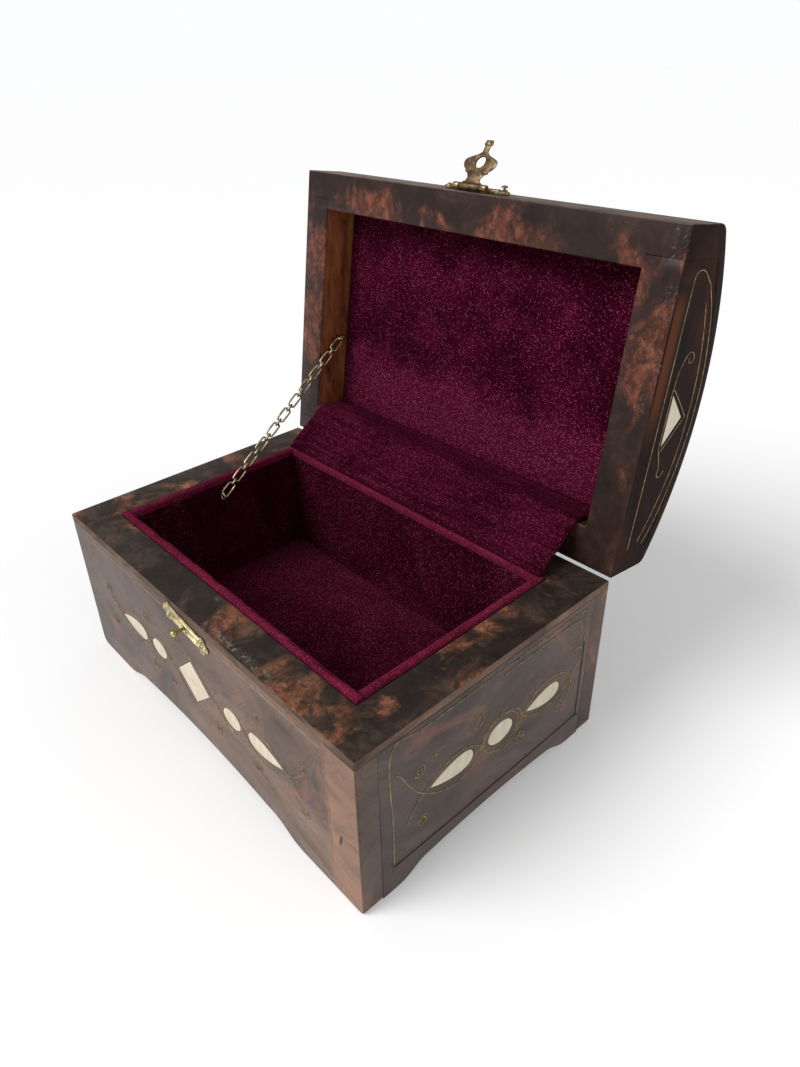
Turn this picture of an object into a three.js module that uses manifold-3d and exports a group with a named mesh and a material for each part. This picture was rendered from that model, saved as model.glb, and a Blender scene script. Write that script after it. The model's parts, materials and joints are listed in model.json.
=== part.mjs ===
// Jewelry box with a hinged arched lid, held open by a chain and closed by a hasp.
// Lengths are millimetres and angles degrees. X runs to the right, Y to the back and Z up, and the lid stands open.
import * as THREE from 'three';
import { mergeVertices } from 'three/addons/utils/BufferGeometryUtils.js';
import Module from 'manifold-3d';

const wasm = await Module();
wasm.setup();

// ---- driving dimensions ----
const gap = 0.3; // clearance between pieces that touch

const body = { length: 230, depth: 150, height: 87 };
const frontThickness = 18.9; // front and rear boards
const sideThickness = 20.6; // left and right boards
const lapThickness = 10.5; // what is left of the front and rear boards where they lap the side boards
const rimStripHeight = 3.5;

const foot = { rise: 6.3, arch: 3, sweep: 25, cornerLeft: 5, cornerRight: 2.5 };
const frontFootLeft = 31;
const frontFootRight = 38;
const sideFoot = { rise: 5.2, arch: 1.6, sweep: 20, corner: 2.5 };
const sideFootLength = 18;

const bottomHeight = 12; // underside of the bottom board above the ground
const bottomThickness = 6;
const padThickness = 8; // floor pad
const liningThickness = 4;
const beadRise = 1.4; // how far the linings' rolled top edges stand above the rim

const lid = { edgeHeight: 26, crown: 44.5, panel: 6, shoulder: 5 };
const railThickness = 18.6; // front and rear rails of the lid
const frontLap = 13;
const rearLap = 9.5;
const endThickness = 17.6; // left and right end boards of the lid
const lidLiningDepth = 19; // from the lid's rim to its lining
const lidLiningThickness = 4;
const lidGap = 0.3; // between the two rims when the lid is shut
const openAngle = 98.3;

const inlay = { depth: 1.6, middle: 44.5 };
const hinge = { reach: 0.45, barrel: 2.2, pin: 0.9, width: 24, leafDepth: 9, leaf: 1.2, inset: 62 };

const hasp = {
  x: 1.5, plate: 39, plateHeight: 6, thickness: 1.3, barrel: 1.5, knuckle: 3.4, pin: 0.6, standOff: 0.6, rise: 3.6,
  lean: 28,
};
const flap = {
  length: 22.5, base: 12.6, hem: 1, neck: 8, neckAt: 4.4, width: 19.6, hole: 5.6, holeAt: 11.8, shank: 3.2,
  shankAt: 16.9, knob: 5, knobAt: 19.5, thickness: 1.1,
};
const strike = { length: 37, height: 7.5, tilt: 8, pin: 0.8, reach: 4.6, ball: 1.5 };
const lobe = { radius: 2.3, inset: 4.6, end: 2.2 }; // rounded ends of the hasp plate and the strike plate

const eye = { ring: 2.2, wire: 0.6, shank: 3.2 };
const chainEye = { y: 0, z: 78.3, s: 59.5, t: 13 }; // on the box's left wall, and on the lid's left end
const chain = { links: 22, wide: 1.5, narrow: 0.8 }; // radii of the chain's beaded outline
const clothThickness = 1.3;
const clothMargin = 1.4; // from the cloth's ends to the side walls

const colours = {
  wood: [0x4a3a33, 0.35, 0],
  burl: [0x6b3f2a, 0.32, 0],
  panel: [0x5a4a42, 0.4, 0],
  velvet: [0x6a0f2c, 0.95, 0],
  bone: [0xcdc2a8, 0.45, 0],
  brass: [0xb39a54, 0.35, 1],
  oldBrass: [0x7a6440, 0.45, 1],
};

// ---- what follows from them ----
const L = body.length / 2;
const D = body.depth / 2;
const innerX = L - sideThickness;
const innerY = D - frontThickness;
const lapY = D - lapThickness;
const boardTop = body.height - rimStripHeight - gap;
const padTop = bottomHeight + bottomThickness + gap + padThickness;
const hingeY = D + hinge.reach;
const hingeZ = body.height + lidGap / 2;
const strikeThickness = hasp.thickness + hasp.standOff - flap.thickness / 2 - gap;

// ---- helpers ----
function asManifold(geometry) {
  const bare = geometry.clone();
  bare.deleteAttribute('normal');
  bare.deleteAttribute('uv');
  const merged = mergeVertices(bare, 1e-5);
  return new wasm.Manifold(new wasm.Mesh({
    numProp: 3,
    vertProperties: new Float32Array(merged.attributes.position.array),
    triVerts: new Uint32Array(merged.index.array),
  }));
}

function asGeometry(manifold) {
  const cut = manifold.getMesh();
  const geometry = new THREE.BufferGeometry();
  geometry.setAttribute('position', new THREE.BufferAttribute(new Float32Array(cut.vertProperties), 3));
  geometry.setIndex(new THREE.BufferAttribute(new Uint32Array(cut.triVerts), 1));
  geometry.computeVertexNormals();
  return geometry;
}

function block(x0, x1, y0, y1, z0, z1) {
  const geometry = new THREE.BoxGeometry(x1 - x0, y1 - y0, z1 - z0);
  return asManifold(geometry.translate((x0 + x1) / 2, (y0 + y1) / 2, (z0 + z1) / 2));
}

// A shape drawn in (y, z), extruded along X.
function alongX(shape, x0, x1, curveSegments = 12) {
  const geometry = new THREE.ExtrudeGeometry(shape, { depth: x1 - x0, bevelEnabled: false, curveSegments });
  const turn = new THREE.Matrix4().makeBasis(
    new THREE.Vector3(0, 1, 0), new THREE.Vector3(0, 0, 1), new THREE.Vector3(1, 0, 0));
  return asManifold(geometry.applyMatrix4(turn).translate(x0, 0, 0));
}

// A shape drawn in (x, z), extruded along Y.
function alongY(shape, y0, y1, curveSegments = 12) {
  const geometry = new THREE.ExtrudeGeometry(shape, { depth: y1 - y0, bevelEnabled: false, curveSegments });
  return asManifold(geometry.rotateX(Math.PI / 2).translate(0, y1, 0));
}

function rod(radius, x0, x1, y, z, sides = 20) {
  const geometry = new THREE.CylinderGeometry(radius, radius, x1 - x0, sides);
  return asManifold(geometry.rotateZ(Math.PI / 2).translate((x0 + x1) / 2, y, z));
}

function post(radius, y0, y1, x, z, sides = 16) {
  const geometry = new THREE.CylinderGeometry(radius, radius, y1 - y0, sides);
  return asManifold(geometry.translate(x, (y0 + y1) / 2, z));
}

function ball(radius, x, y, z) {
  return asManifold(new THREE.SphereGeometry(radius, 14, 9).translate(x, y, z));
}

function addMesh(parent, name, solid, look) {
  const [color, roughness, metalness] = colours[look];
  const mesh = new THREE.Mesh(asGeometry(solid), new THREE.MeshStandardMaterial({ color, roughness, metalness }));
  mesh.name = name;
  parent.add(mesh);
}

// ---- groups: the box stands still, the lid turns on the hinge, and the flap turns on the lid ----
const jewelryBox = new THREE.Group();
const lidGroup = new THREE.Group();
lidGroup.position.set(0, hingeY, hingeZ);
lidGroup.rotation.x = THREE.MathUtils.degToRad(-openAngle);
jewelryBox.add(lidGroup);

// ---- inlaid bone pieces ----
// A leaf has its tip at u = tip and its blunt end at u = end.
function leaf(tip, end, height, grow) {
  const out = Math.sign(end - tip) * grow;
  const a = tip - out;
  const b = end + out;
  const h = height + 2 * grow;
  const shape = new THREE.Shape();
  shape.moveTo(a, inlay.middle);
  shape.bezierCurveTo(a + 0.35 * (b - a), inlay.middle + 0.45 * h, b, inlay.middle + 0.75 * h, b, inlay.middle);
  shape.bezierCurveTo(b, inlay.middle - 0.75 * h, a + 0.35 * (b - a), inlay.middle - 0.45 * h, a, inlay.middle);
  return shape;
}

function oval(u, width, height, grow) {
  const shape = new THREE.Shape();
  shape.absellipse(u, inlay.middle, width / 2 + grow, height / 2 + grow, 0, 2 * Math.PI);
  return shape;
}

// Half of the diamond: side is 1 for the upper half and -1 for the lower.
function halfDiamond(u, width, height, side, grow) {
  const level = inlay.middle + side * (gap / 2 - grow);
  const shape = new THREE.Shape();
  shape.moveTo(u - width / 2 - 1.4 * grow, level);
  shape.lineTo(u + width / 2 + 1.4 * grow, level);
  shape.lineTo(u, inlay.middle + side * (height / 2 + 1.4 * grow));
  return shape;
}

const frontMiddle = -2;
const frontPieces = {
  front_inlay_left_leaf: (grow) => leaf(frontMiddle - 70, frontMiddle - 45, 10, grow),
  front_inlay_left_oval: (grow) => oval(frontMiddle - 32.2, 13.5, 10, grow),
  front_inlay_diamond_upper: (grow) => halfDiamond(frontMiddle, 27, 25, 1, grow),
  front_inlay_diamond_lower: (grow) => halfDiamond(frontMiddle, 27, 25, -1, grow),
  front_inlay_right_oval: (grow) => oval(frontMiddle + 32.2, 13.5, 10, grow),
  front_inlay_right_leaf: (grow) => leaf(frontMiddle + 70, frontMiddle + 45, 10, grow),
};
const sideMiddle = 4;
const sidePieces = {
  front_leaf: (grow) => leaf(sideMiddle - 42, sideMiddle - 17, 11, grow),
  oval: (grow) => oval(sideMiddle, 15.5, 11.5, grow),
  rear_leaf: (grow) => leaf(sideMiddle + 17, sideMiddle + 40, 10.5, grow),
};

function addFrontPieces() {
  for (const [name, outline] of Object.entries(frontPieces)) {
    addMesh(jewelryBox, name, alongY(outline(0), -D, -D + inlay.depth), 'bone');
  }
}

function addSidePieces(prefix, x0) {
  for (const [name, outline] of Object.entries(sidePieces)) {
    addMesh(jewelryBox, `${prefix}_inlay_${name}`, alongX(outline(0), x0, x0 + inlay.depth), 'bone');
  }
}

// ---- carcase boards ----
// A board's outline seen square on: flat feet at both ends, an S-shaped sweep and a shallow arch between.
function boardOutline(halfLength, profile, footLeft, footRight, cornerLeft, cornerRight) {
  const left = -halfLength + footLeft;
  const right = halfLength - footRight;
  const shape = new THREE.Shape();
  shape.moveTo(-halfLength, boardTop);
  shape.lineTo(-halfLength, cornerLeft);
  shape.quadraticCurveTo(-halfLength, 0, -halfLength + cornerLeft, 0);
  shape.lineTo(left, 0);
  shape.bezierCurveTo(left + profile.sweep / 2, 0, left + profile.sweep / 2, profile.rise,
    left + profile.sweep, profile.rise);
  shape.quadraticCurveTo((left + right) / 2, profile.rise + 2 * profile.arch, right - profile.sweep, profile.rise);
  shape.bezierCurveTo(right - profile.sweep / 2, profile.rise, right - profile.sweep / 2, 0, right, 0);
  shape.lineTo(halfLength - cornerRight, 0);
  shape.quadraticCurveTo(halfLength, 0, halfLength, cornerRight);
  shape.lineTo(halfLength, boardTop);
  return shape;
}

function crossBoard(y0, y1, lapFrom, lapTo) {
  const outline = boardOutline(L, foot, frontFootLeft, frontFootRight, foot.cornerLeft, foot.cornerRight);
  const plank = alongY(outline, y0, y1);
  const leftLap = block(-L - 1, -innerX, lapFrom, lapTo, -1, body.height);
  const rightLap = block(innerX, L + 1, lapFrom, lapTo, -1, body.height);
  return plank.subtract(leftLap).subtract(rightLap);
}

function sideBoard(x0, x1) {
  const outline = boardOutline(D, sideFoot, sideFootLength, sideFootLength, sideFoot.corner, sideFoot.corner);
  const length = block(x0, x1, -lapY + gap, lapY - gap, -1, body.height);
  return alongX(outline, x0, x1).intersect(length);
}

const hingePlaces = { left: -hinge.inset, right: hinge.inset };

// Space in the box's rear edge for a hinge's barrel and leaf.
function boxHingeSpace(x) {
  const half = hinge.width / 2 + gap;
  const recess = block(x - half, x + half, hingeY - hinge.leafDepth - gap, hingeY,
    body.height - hinge.leaf - gap, body.height + 1);
  return recess.add(rod(hinge.barrel + gap, x - half, x + half, hingeY, hingeZ));
}

// ---- the box ----
let frontBoard = crossBoard(-D, -innerY, -lapY, -innerY + 1);
for (const outline of Object.values(frontPieces)) {
  frontBoard = frontBoard.subtract(alongY(outline(gap), -D - 1, -D + inlay.depth + gap));
}
addMesh(jewelryBox, 'front_board', frontBoard, 'panel');
addMesh(jewelryBox, 'rear_board', crossBoard(innerY, D, innerY - 1, lapY), 'panel');

const eyeHole = rod(eye.wire + gap, -innerX - eye.shank - 2 * gap, 0, chainEye.y, chainEye.z, 12);
let rightBoard = sideBoard(innerX + gap, L);
let leftBoard = sideBoard(-L, -innerX - gap).subtract(eyeHole);
for (const outline of Object.values(sidePieces)) {
  rightBoard = rightBoard.subtract(alongX(outline(gap), L - inlay.depth - gap, L + 1));
  leftBoard = leftBoard.subtract(alongX(outline(gap), -L - 1, -L + inlay.depth + gap));
}
addMesh(jewelryBox, 'left_side_board', leftBoard, 'panel');
addMesh(jewelryBox, 'right_side_board', rightBoard, 'panel');
addFrontPieces();
addSidePieces('right', L - inlay.depth);
addSidePieces('left', -L);

const stripBottom = body.height - rimStripHeight;
let rearStrip = block(-L, L, innerY, D, stripBottom, body.height);
for (const x of Object.values(hingePlaces)) rearStrip = rearStrip.subtract(boxHingeSpace(x));
addMesh(jewelryBox, 'front_rim_strip', block(-L, L, -D, -innerY, stripBottom, body.height), 'burl');
addMesh(jewelryBox, 'rear_rim_strip', rearStrip, 'burl');
addMesh(jewelryBox, 'left_rim_strip',
  block(-L, -innerX, -innerY + gap, innerY - gap, stripBottom, body.height), 'burl');
addMesh(jewelryBox, 'right_rim_strip',
  block(innerX, L, -innerY + gap, innerY - gap, stripBottom, body.height), 'burl');

const roomX = innerX - gap;
const roomY = innerY - gap;
addMesh(jewelryBox, 'bottom_board',
  block(-roomX, roomX, -roomY, roomY, bottomHeight, bottomHeight + bottomThickness), 'wood');

// Velvet linings: upright pads whose rolled top edge stands a little above the rim.
function liningProfile(inner, outer) {
  const low = bottomHeight + bottomThickness + gap;
  const radius = Math.abs(outer - inner) / 2;
  const top = body.height + beadRise - radius;
  const shape = new THREE.Shape();
  shape.moveTo(Math.min(inner, outer), low);
  shape.lineTo(Math.max(inner, outer), low);
  shape.absarc((inner + outer) / 2, top, radius, 0, Math.PI);
  return shape;
}

const frontLining = alongX(liningProfile(-roomY, -roomY + liningThickness), -roomX, roomX, 8);
const rearLining = alongX(liningProfile(roomY - liningThickness, roomY), -roomX, roomX, 8);
addMesh(jewelryBox, 'front_lining', frontLining, 'velvet');
addMesh(jewelryBox, 'rear_lining', rearLining, 'velvet');

const sideLiningEnd = roomY - liningThickness - gap;
function sideLining(inner, outer) {
  return alongY(liningProfile(inner, outer), -sideLiningEnd, sideLiningEnd, 8);
}
addMesh(jewelryBox, 'left_lining', sideLining(-roomX, -roomX + liningThickness).subtract(eyeHole), 'velvet');
addMesh(jewelryBox, 'right_lining', sideLining(roomX - liningThickness, roomX), 'velvet');

const padX = roomX - liningThickness - gap;
addMesh(jewelryBox, 'floor_pad',
  block(-padX, padX, -sideLiningEnd, sideLiningEnd, padTop - padThickness, padTop), 'velvet');

// ---- the lid, in its own closed pose about the hinge axis: y = -s + reach, z = t + lidGap / 2 ----
const sToY = (s) => s - body.depth - hinge.reach; // s counts from the front face of the closed lid
const front = sToY(0);
const back = sToY(body.depth);
const rim = lidGap / 2;
const middleY = sToY(D);
const crownRise = lid.crown - lid.edgeHeight;
const archRadius = (D * D + crownRise * crownRise) / (2 * crownRise);
const archCentre = rim + lid.crown - archRadius;

// Height of the panel's underside above the hinge, at a distance y from the hinge.
function underside(y, clearance = 0) {
  const radius = archRadius - lid.panel - clearance;
  return archCentre + Math.sqrt(radius * radius - (y - middleY) * (y - middleY));
}

function topPanelProfile() {
  const centreY = D - lid.shoulder;
  const centreZ = archCentre + Math.sqrt((archRadius - lid.shoulder) ** 2 - centreY ** 2);
  const tilt = Math.atan2(centreZ - archCentre, centreY);
  const half = Math.atan2(underside(front) - archCentre, D);
  const shape = new THREE.Shape();
  shape.moveTo(back, underside(back));
  shape.lineTo(back, centreZ);
  shape.absarc(back - lid.shoulder, centreZ, lid.shoulder, 0, tilt);
  shape.absarc(middleY, archCentre, archRadius, tilt, Math.PI - tilt);
  shape.absarc(front + lid.shoulder, centreZ, lid.shoulder, Math.PI - tilt, Math.PI);
  shape.lineTo(front, underside(front));
  shape.absarc(middleY, archCentre, archRadius - lid.panel, Math.PI - half, half, true);
  return shape;
}

// The part of the lid's end outline between two distances from the hinge, below the panel.
function underPanel(y0, y1) {
  const steps = 8;
  const shape = new THREE.Shape();
  shape.moveTo(y0, rim);
  shape.lineTo(y1, rim);
  for (let i = 0; i <= steps; i += 1) {
    const y = y1 + ((y0 - y1) * i) / steps;
    shape.lineTo(y, underside(y, gap));
  }
  return shape;
}

const endX = L - endThickness;
const lidRoomX = endX - gap;
const lidHigh = lid.crown + 5;

let frontRail = alongX(underPanel(front, front + railThickness), -L, L);
let rearRail = alongX(underPanel(back - railThickness, back), -L, L);
for (const side of [-1, 1]) {
  const x0 = side < 0 ? -L - 1 : endX;
  const x1 = side < 0 ? -endX : L + 1;
  frontRail = frontRail.subtract(block(x0, x1, front + frontLap, front + railThickness + 1, -1, lidHigh));
  rearRail = rearRail.subtract(block(x0, x1, back - railThickness - 1, back - rearLap, -1, lidHigh));
}

const end = { low: front + frontLap + gap, high: back - rearLap - gap };
const triangle = { middle: middleY + 4, width: 22.8, base: 16.8, apex: 28.5 };

function endTriangle(grow) {
  const half = triangle.width / 2 + 1.8 * grow;
  const shape = new THREE.Shape();
  shape.moveTo(triangle.middle - half, rim + triangle.base - grow);
  shape.lineTo(triangle.middle + half, rim + triangle.base - grow);
  shape.lineTo(triangle.middle, rim + triangle.apex + 1.4 * grow);
  return shape;
}

const lidEyeY = back - chainEye.s;
const lidEyeZ = rim + chainEye.t;
const lidEyeHole = rod(eye.wire + gap, -endX - eye.shank - 2 * gap, 0, lidEyeY, lidEyeZ, 12);
let leftEnd = alongX(underPanel(end.low, end.high), -L, -endX - gap);
let rightEnd = alongX(underPanel(end.low, end.high), endX + gap, L);
leftEnd = leftEnd.subtract(alongX(endTriangle(gap), -L - 1, -L + inlay.depth + gap)).subtract(lidEyeHole);
rightEnd = rightEnd.subtract(alongX(endTriangle(gap), L - inlay.depth - gap, L + 1));

// The hinge leaves lie in the two rims, with their barrels in a groove across the rear edge.
function lidHingeSpace(x) {
  const half = hinge.width / 2 + gap;
  const recess = block(x - half, x + half, -hinge.leafDepth - gap, 0, -1, rim + hinge.leaf + gap);
  return recess.add(rod(hinge.barrel + gap, x - half, x + half, 0, 0));
}
for (const x of Object.values(hingePlaces)) rearRail = rearRail.subtract(lidHingeSpace(x));

addMesh(lidGroup, 'lid_front_rail', frontRail, 'burl');
addMesh(lidGroup, 'lid_rear_rail', rearRail, 'burl');
addMesh(lidGroup, 'lid_left_end', leftEnd, 'burl');
addMesh(lidGroup, 'lid_right_end', rightEnd, 'burl');
addMesh(lidGroup, 'lid_top_panel', alongX(topPanelProfile(), -L, L, 20), 'burl');
addMesh(lidGroup, 'lid_right_inlay', alongX(endTriangle(0), L - inlay.depth, L), 'bone');
addMesh(lidGroup, 'lid_left_inlay', alongX(endTriangle(0), -L, -L + inlay.depth), 'bone');
addMesh(lidGroup, 'lid_lining', block(-lidRoomX, lidRoomX, front + railThickness + gap, back - railThickness - gap,
  rim + lidLiningDepth, rim + lidLiningDepth + lidLiningThickness), 'velvet');

// ---- hinges: the box leaf has the two outer barrels, and the lid leaf has the middle one ----
const knuckle = hinge.width / 3;

function barrel(x0, x1, y, z) {
  return rod(hinge.barrel, x0, x1, y, z);
}

for (const [side, x] of Object.entries(hingePlaces)) {
  const x0 = x - hinge.width / 2;
  const x1 = x + hinge.width / 2;
  const boxBore = rod(hinge.pin + gap, x0 - 1, x1 + 1, hingeY, hingeZ);
  const boxLeaf = block(x0, x1, hingeY - hinge.leafDepth, hingeY, body.height - hinge.leaf, body.height)
    .subtract(rod(hinge.barrel + gap, x0 + knuckle - gap, x1 - knuckle + gap, hingeY, hingeZ))
    .add(barrel(x0, x0 + knuckle - gap, hingeY, hingeZ))
    .add(barrel(x1 - knuckle + gap, x1, hingeY, hingeZ))
    .subtract(boxBore);
  addMesh(jewelryBox, `hinge_${side}_box_leaf`, boxLeaf, 'brass');
  addMesh(jewelryBox, `hinge_${side}_pin`, rod(hinge.pin, x0, x1, hingeY, hingeZ, 16), 'brass');

  const lidLeaf = block(x0, x1, -hinge.leafDepth, 0, rim, rim + hinge.leaf)
    .subtract(rod(hinge.barrel + gap, x0 - 1, x0 + knuckle, 0, 0))
    .subtract(rod(hinge.barrel + gap, x1 - knuckle, x1 + 1, 0, 0))
    .add(barrel(x0 + knuckle, x1 - knuckle, 0, 0))
    .subtract(rod(hinge.pin + gap, x0 - 1, x1 + 1, 0, 0));
  addMesh(lidGroup, `hinge_${side}_lid_leaf`, lidLeaf, 'brass');
}

// ---- hasp: plate and pin on the lid, flap on the pin, strike plate and ball-headed staple on the box ----
const plateFace = front - gap;
const haspY = plateFace - hasp.thickness - hasp.standOff;
const haspZ = rim + hasp.rise;
const flapHalf = flap.base / 2;

// A plate with a three-lobed end on each side, centred on (x, z).
function lobedPlate(length, height, x, z, y0, y1) {
  let plate = block(x - length / 2 + lobe.inset, x + length / 2 - lobe.inset, y0, y1, z - height / 2, z + height / 2);
  for (const side of [-1, 1]) {
    for (const level of [-1, 1]) {
      const lobeZ = z + level * (height / 2 - lobe.radius / 2);
      plate = plate.add(post(lobe.radius, y0, y1, x + side * (length / 2 - lobe.inset), lobeZ));
    }
    plate = plate.add(post(lobe.end, y0, y1, x + side * (length / 2 - lobe.end), z));
  }
  return plate;
}

let haspPlate = lobedPlate(hasp.plate, hasp.plateHeight, hasp.x, haspZ + hasp.barrel + gap + hasp.plateHeight / 2,
  plateFace - hasp.thickness, plateFace);
for (const side of [-1, 1]) {
  const inner = hasp.x + side * (flapHalf + gap);
  const outer = hasp.x + side * (flapHalf + gap + hasp.knuckle);
  const knuckleRod = rod(hasp.barrel, Math.min(inner, outer), Math.max(inner, outer), haspY, haspZ, 16);
  const web = block(Math.min(inner, outer), Math.max(inner, outer), plateFace - hasp.thickness, plateFace,
    haspZ, haspZ + 2 * hasp.barrel);
  haspPlate = haspPlate.add(knuckleRod).add(web);
}
haspPlate = haspPlate.subtract(rod(hasp.pin + gap, -L, L, haspY, haspZ, 14));
addMesh(lidGroup, 'hasp_plate', haspPlate, 'brass');
const pinHalf = flapHalf + gap + hasp.knuckle;
addMesh(lidGroup, 'hasp_pin', rod(hasp.pin, hasp.x - pinHalf, hasp.x + pinHalf, haspY, haspZ, 12), 'brass');

// The flap is drawn in its own plane: x across, z along its length from the pin.
function flapOutline() {
  const half = flap.width / 2;
  const base = flap.base / 2;
  const neck = flap.neck / 2;
  const shank = flap.shank / 2;
  const knob = flap.knob / 2;
  const low = (flap.neckAt + flap.holeAt) / 2;
  const high = (flap.shankAt + flap.holeAt) / 2;
  const shape = new THREE.Shape();
  shape.moveTo(-base, 0);
  shape.lineTo(base, 0);
  shape.lineTo(base, flap.hem);
  shape.quadraticCurveTo(neck, 2 * flap.hem, neck, flap.neckAt);
  shape.bezierCurveTo(1.5 * neck, low, half, low, half, flap.holeAt);
  shape.bezierCurveTo(half, high, 2 * shank, high, shank, flap.shankAt);
  shape.lineTo(shank, flap.knobAt);
  shape.lineTo(knob, flap.knobAt + 0.2 * flap.knob);
  shape.lineTo(0.8 * knob, flap.length);
  shape.lineTo(-0.8 * knob, flap.length);
  shape.lineTo(-knob, flap.knobAt + 0.2 * flap.knob);
  shape.lineTo(-shank, flap.knobAt);
  shape.lineTo(-shank, flap.shankAt);
  shape.bezierCurveTo(-2 * shank, high, -half, high, -half, flap.holeAt);
  shape.bezierCurveTo(-half, low, -1.5 * neck, low, -neck, flap.neckAt);
  shape.quadraticCurveTo(-neck, 2 * flap.hem, -base, flap.hem);
  const hole = new THREE.Path();
  hole.absellipse(0, flap.holeAt, flap.hole / 2, flap.hole / 2, 0, 2 * Math.PI, true);
  shape.holes.push(hole);
  return shape;
}

const flapGroup = new THREE.Group();
flapGroup.position.set(hasp.x, haspY, haspZ);
flapGroup.rotation.x = THREE.MathUtils.degToRad(90 - hasp.lean);
lidGroup.add(flapGroup);
const flapSolid = alongY(flapOutline(), -flap.thickness / 2, flap.thickness / 2, 6)
  .add(rod(hasp.barrel, -flapHalf, flapHalf, 0, 0, 16))
  .subtract(rod(hasp.pin + gap, -L, L, 0, 0, 14));
addMesh(flapGroup, 'hasp_flap', flapSolid, 'oldBrass');

const strikeZ = hingeZ + haspZ - flap.holeAt;
const strikeY = -D - gap;
const strikePlate = lobedPlate(strike.length, strike.height, 0, 0, -strikeThickness, 0)
  .subtract(post(strike.pin + gap, -strikeThickness - 1, 1, 0, 0, 12));
const strikeGroup = new THREE.Group();
strikeGroup.position.set(hasp.x, strikeY, strikeZ);
strikeGroup.rotation.y = THREE.MathUtils.degToRad(strike.tilt);
jewelryBox.add(strikeGroup);
addMesh(strikeGroup, 'strike_plate', strikePlate, 'brass');
const staple = post(strike.pin, -strikeThickness - strike.reach, 0, 0, 0, 12)
  .add(ball(strike.ball, 0, -strikeThickness - strike.reach, 0));
addMesh(strikeGroup, 'strike_staple', staple, 'brass');

// ---- chain: a screw eye on the box's left wall, one on the lid's left end, and the chain between them ----
const eyeReach = eye.ring + eye.wire;

function screwEye(wallX, ringX, y, z) {
  const ring = new THREE.TorusGeometry(eye.ring, eye.wire, 8, 18).rotateX(Math.PI / 2).translate(ringX, y, z);
  const shank = rod(eye.wire, wallX - eye.shank, ringX - eye.ring, y, z, 10);
  return asManifold(ring).add(shank);
}

const boxEyeX = -roomX + liningThickness + gap + eyeReach;
const lidEyeX = -endX + eyeReach + gap;
addMesh(jewelryBox, 'chain_box_eye', screwEye(-innerX - gap, boxEyeX, chainEye.y, chainEye.z), 'brass');
addMesh(lidGroup, 'chain_lid_eye', screwEye(-endX - gap, lidEyeX, lidEyeY, lidEyeZ), 'brass');

jewelryBox.updateMatrixWorld(true);
const chainFrom = new THREE.Vector3(boxEyeX, chainEye.y, chainEye.z);
const chainTo = new THREE.Vector3(lidEyeX, lidEyeY, lidEyeZ).applyMatrix4(lidGroup.matrixWorld);

// The taut chain is one beaded rod with a bead for each link.
function chainRod(length) {
  const pitch = length / chain.links;
  const profile = [new THREE.Vector2(0, 0)];
  for (let i = 0; i < chain.links; i += 1) {
    profile.push(new THREE.Vector2(chain.narrow, i * pitch));
    profile.push(new THREE.Vector2(chain.wide, (i + 0.5) * pitch));
  }
  profile.push(new THREE.Vector2(chain.narrow, length), new THREE.Vector2(0, length));
  return new THREE.LatheGeometry(profile, 6);
}

const chainWay = chainTo.clone().sub(chainFrom);
const chainEnd = eyeReach + gap;
const chainTurn = new THREE.Quaternion().setFromUnitVectors(new THREE.Vector3(0, 1, 0), chainWay.clone().normalize());
const chainSolid = asManifold(chainRod(chainWay.length() - 2 * chainEnd));
const chainGroup = new THREE.Group();
chainGroup.quaternion.copy(chainTurn);
chainGroup.position.copy(chainFrom).addScaledVector(chainWay.clone().normalize(), chainEnd);
jewelryBox.add(chainGroup);
addMesh(chainGroup, 'lid_chain', chainSolid, 'brass');

// ---- hinge cloth: from the rear lining's rolled edge across to the lid's rear rail, and in to the lid's lining ----
const clear = gap + clothThickness / 2;
const edgeY = back - railThickness;

function onOpenLid(y, z) {
  const point = new THREE.Vector3(0, y, z).applyMatrix4(lidGroup.matrixWorld);
  return new THREE.Vector2(point.y, point.z);
}

function clothProfile() {
  const start = new THREE.Vector2(roomY - liningThickness, body.height + beadRise + clear);
  const overEdge = onOpenLid(edgeY - 0.6 * clear, rim - 1.2 * clear);
  const line = new THREE.SplineCurve([
    start,
    start.clone().lerp(overEdge, 1 / 3),
    start.clone().lerp(overEdge, 2 / 3),
    overEdge,
    onOpenLid(edgeY - 1.3 * clear, rim + 2 * clear),
    onOpenLid(edgeY - clear, rim + lidLiningDepth / 2),
    onOpenLid(edgeY - clear, rim + lidLiningDepth - clear),
  ]);
  const steps = 28;
  const outer = [];
  const inner = [];
  for (let i = 0; i <= steps; i += 1) {
    const middle = line.getPointAt(i / steps);
    const tangent = line.getTangentAt(i / steps);
    const side = new THREE.Vector2(-tangent.y, tangent.x).multiplyScalar(clothThickness / 2);
    outer.push(middle.clone().add(side));
    inner.unshift(middle.clone().sub(side));
  }
  return new THREE.Shape([...inner, ...outer]);
}

const clothX = innerX - clothMargin;
addMesh(jewelryBox, 'hinge_cloth', alongX(clothProfile(), -clothX, clothX), 'velvet');

// ---- the origin is on the ground, at the middle of the open box's outline ----
jewelryBox.updateMatrixWorld(true);
const extent = new THREE.Box3().setFromObject(jewelryBox, true);
const centre = extent.getCenter(new THREE.Vector3());
jewelryBox.position.set(-centre.x, -centre.y, -extent.min.z);
jewelryBox.updateMatrixWorld(true);

export default jewelryBox;
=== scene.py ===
import json
import math

import bmesh
import bpy
from mathutils import Matrix, Vector, noise
from mathutils.bvhtree import BVHTree

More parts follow.
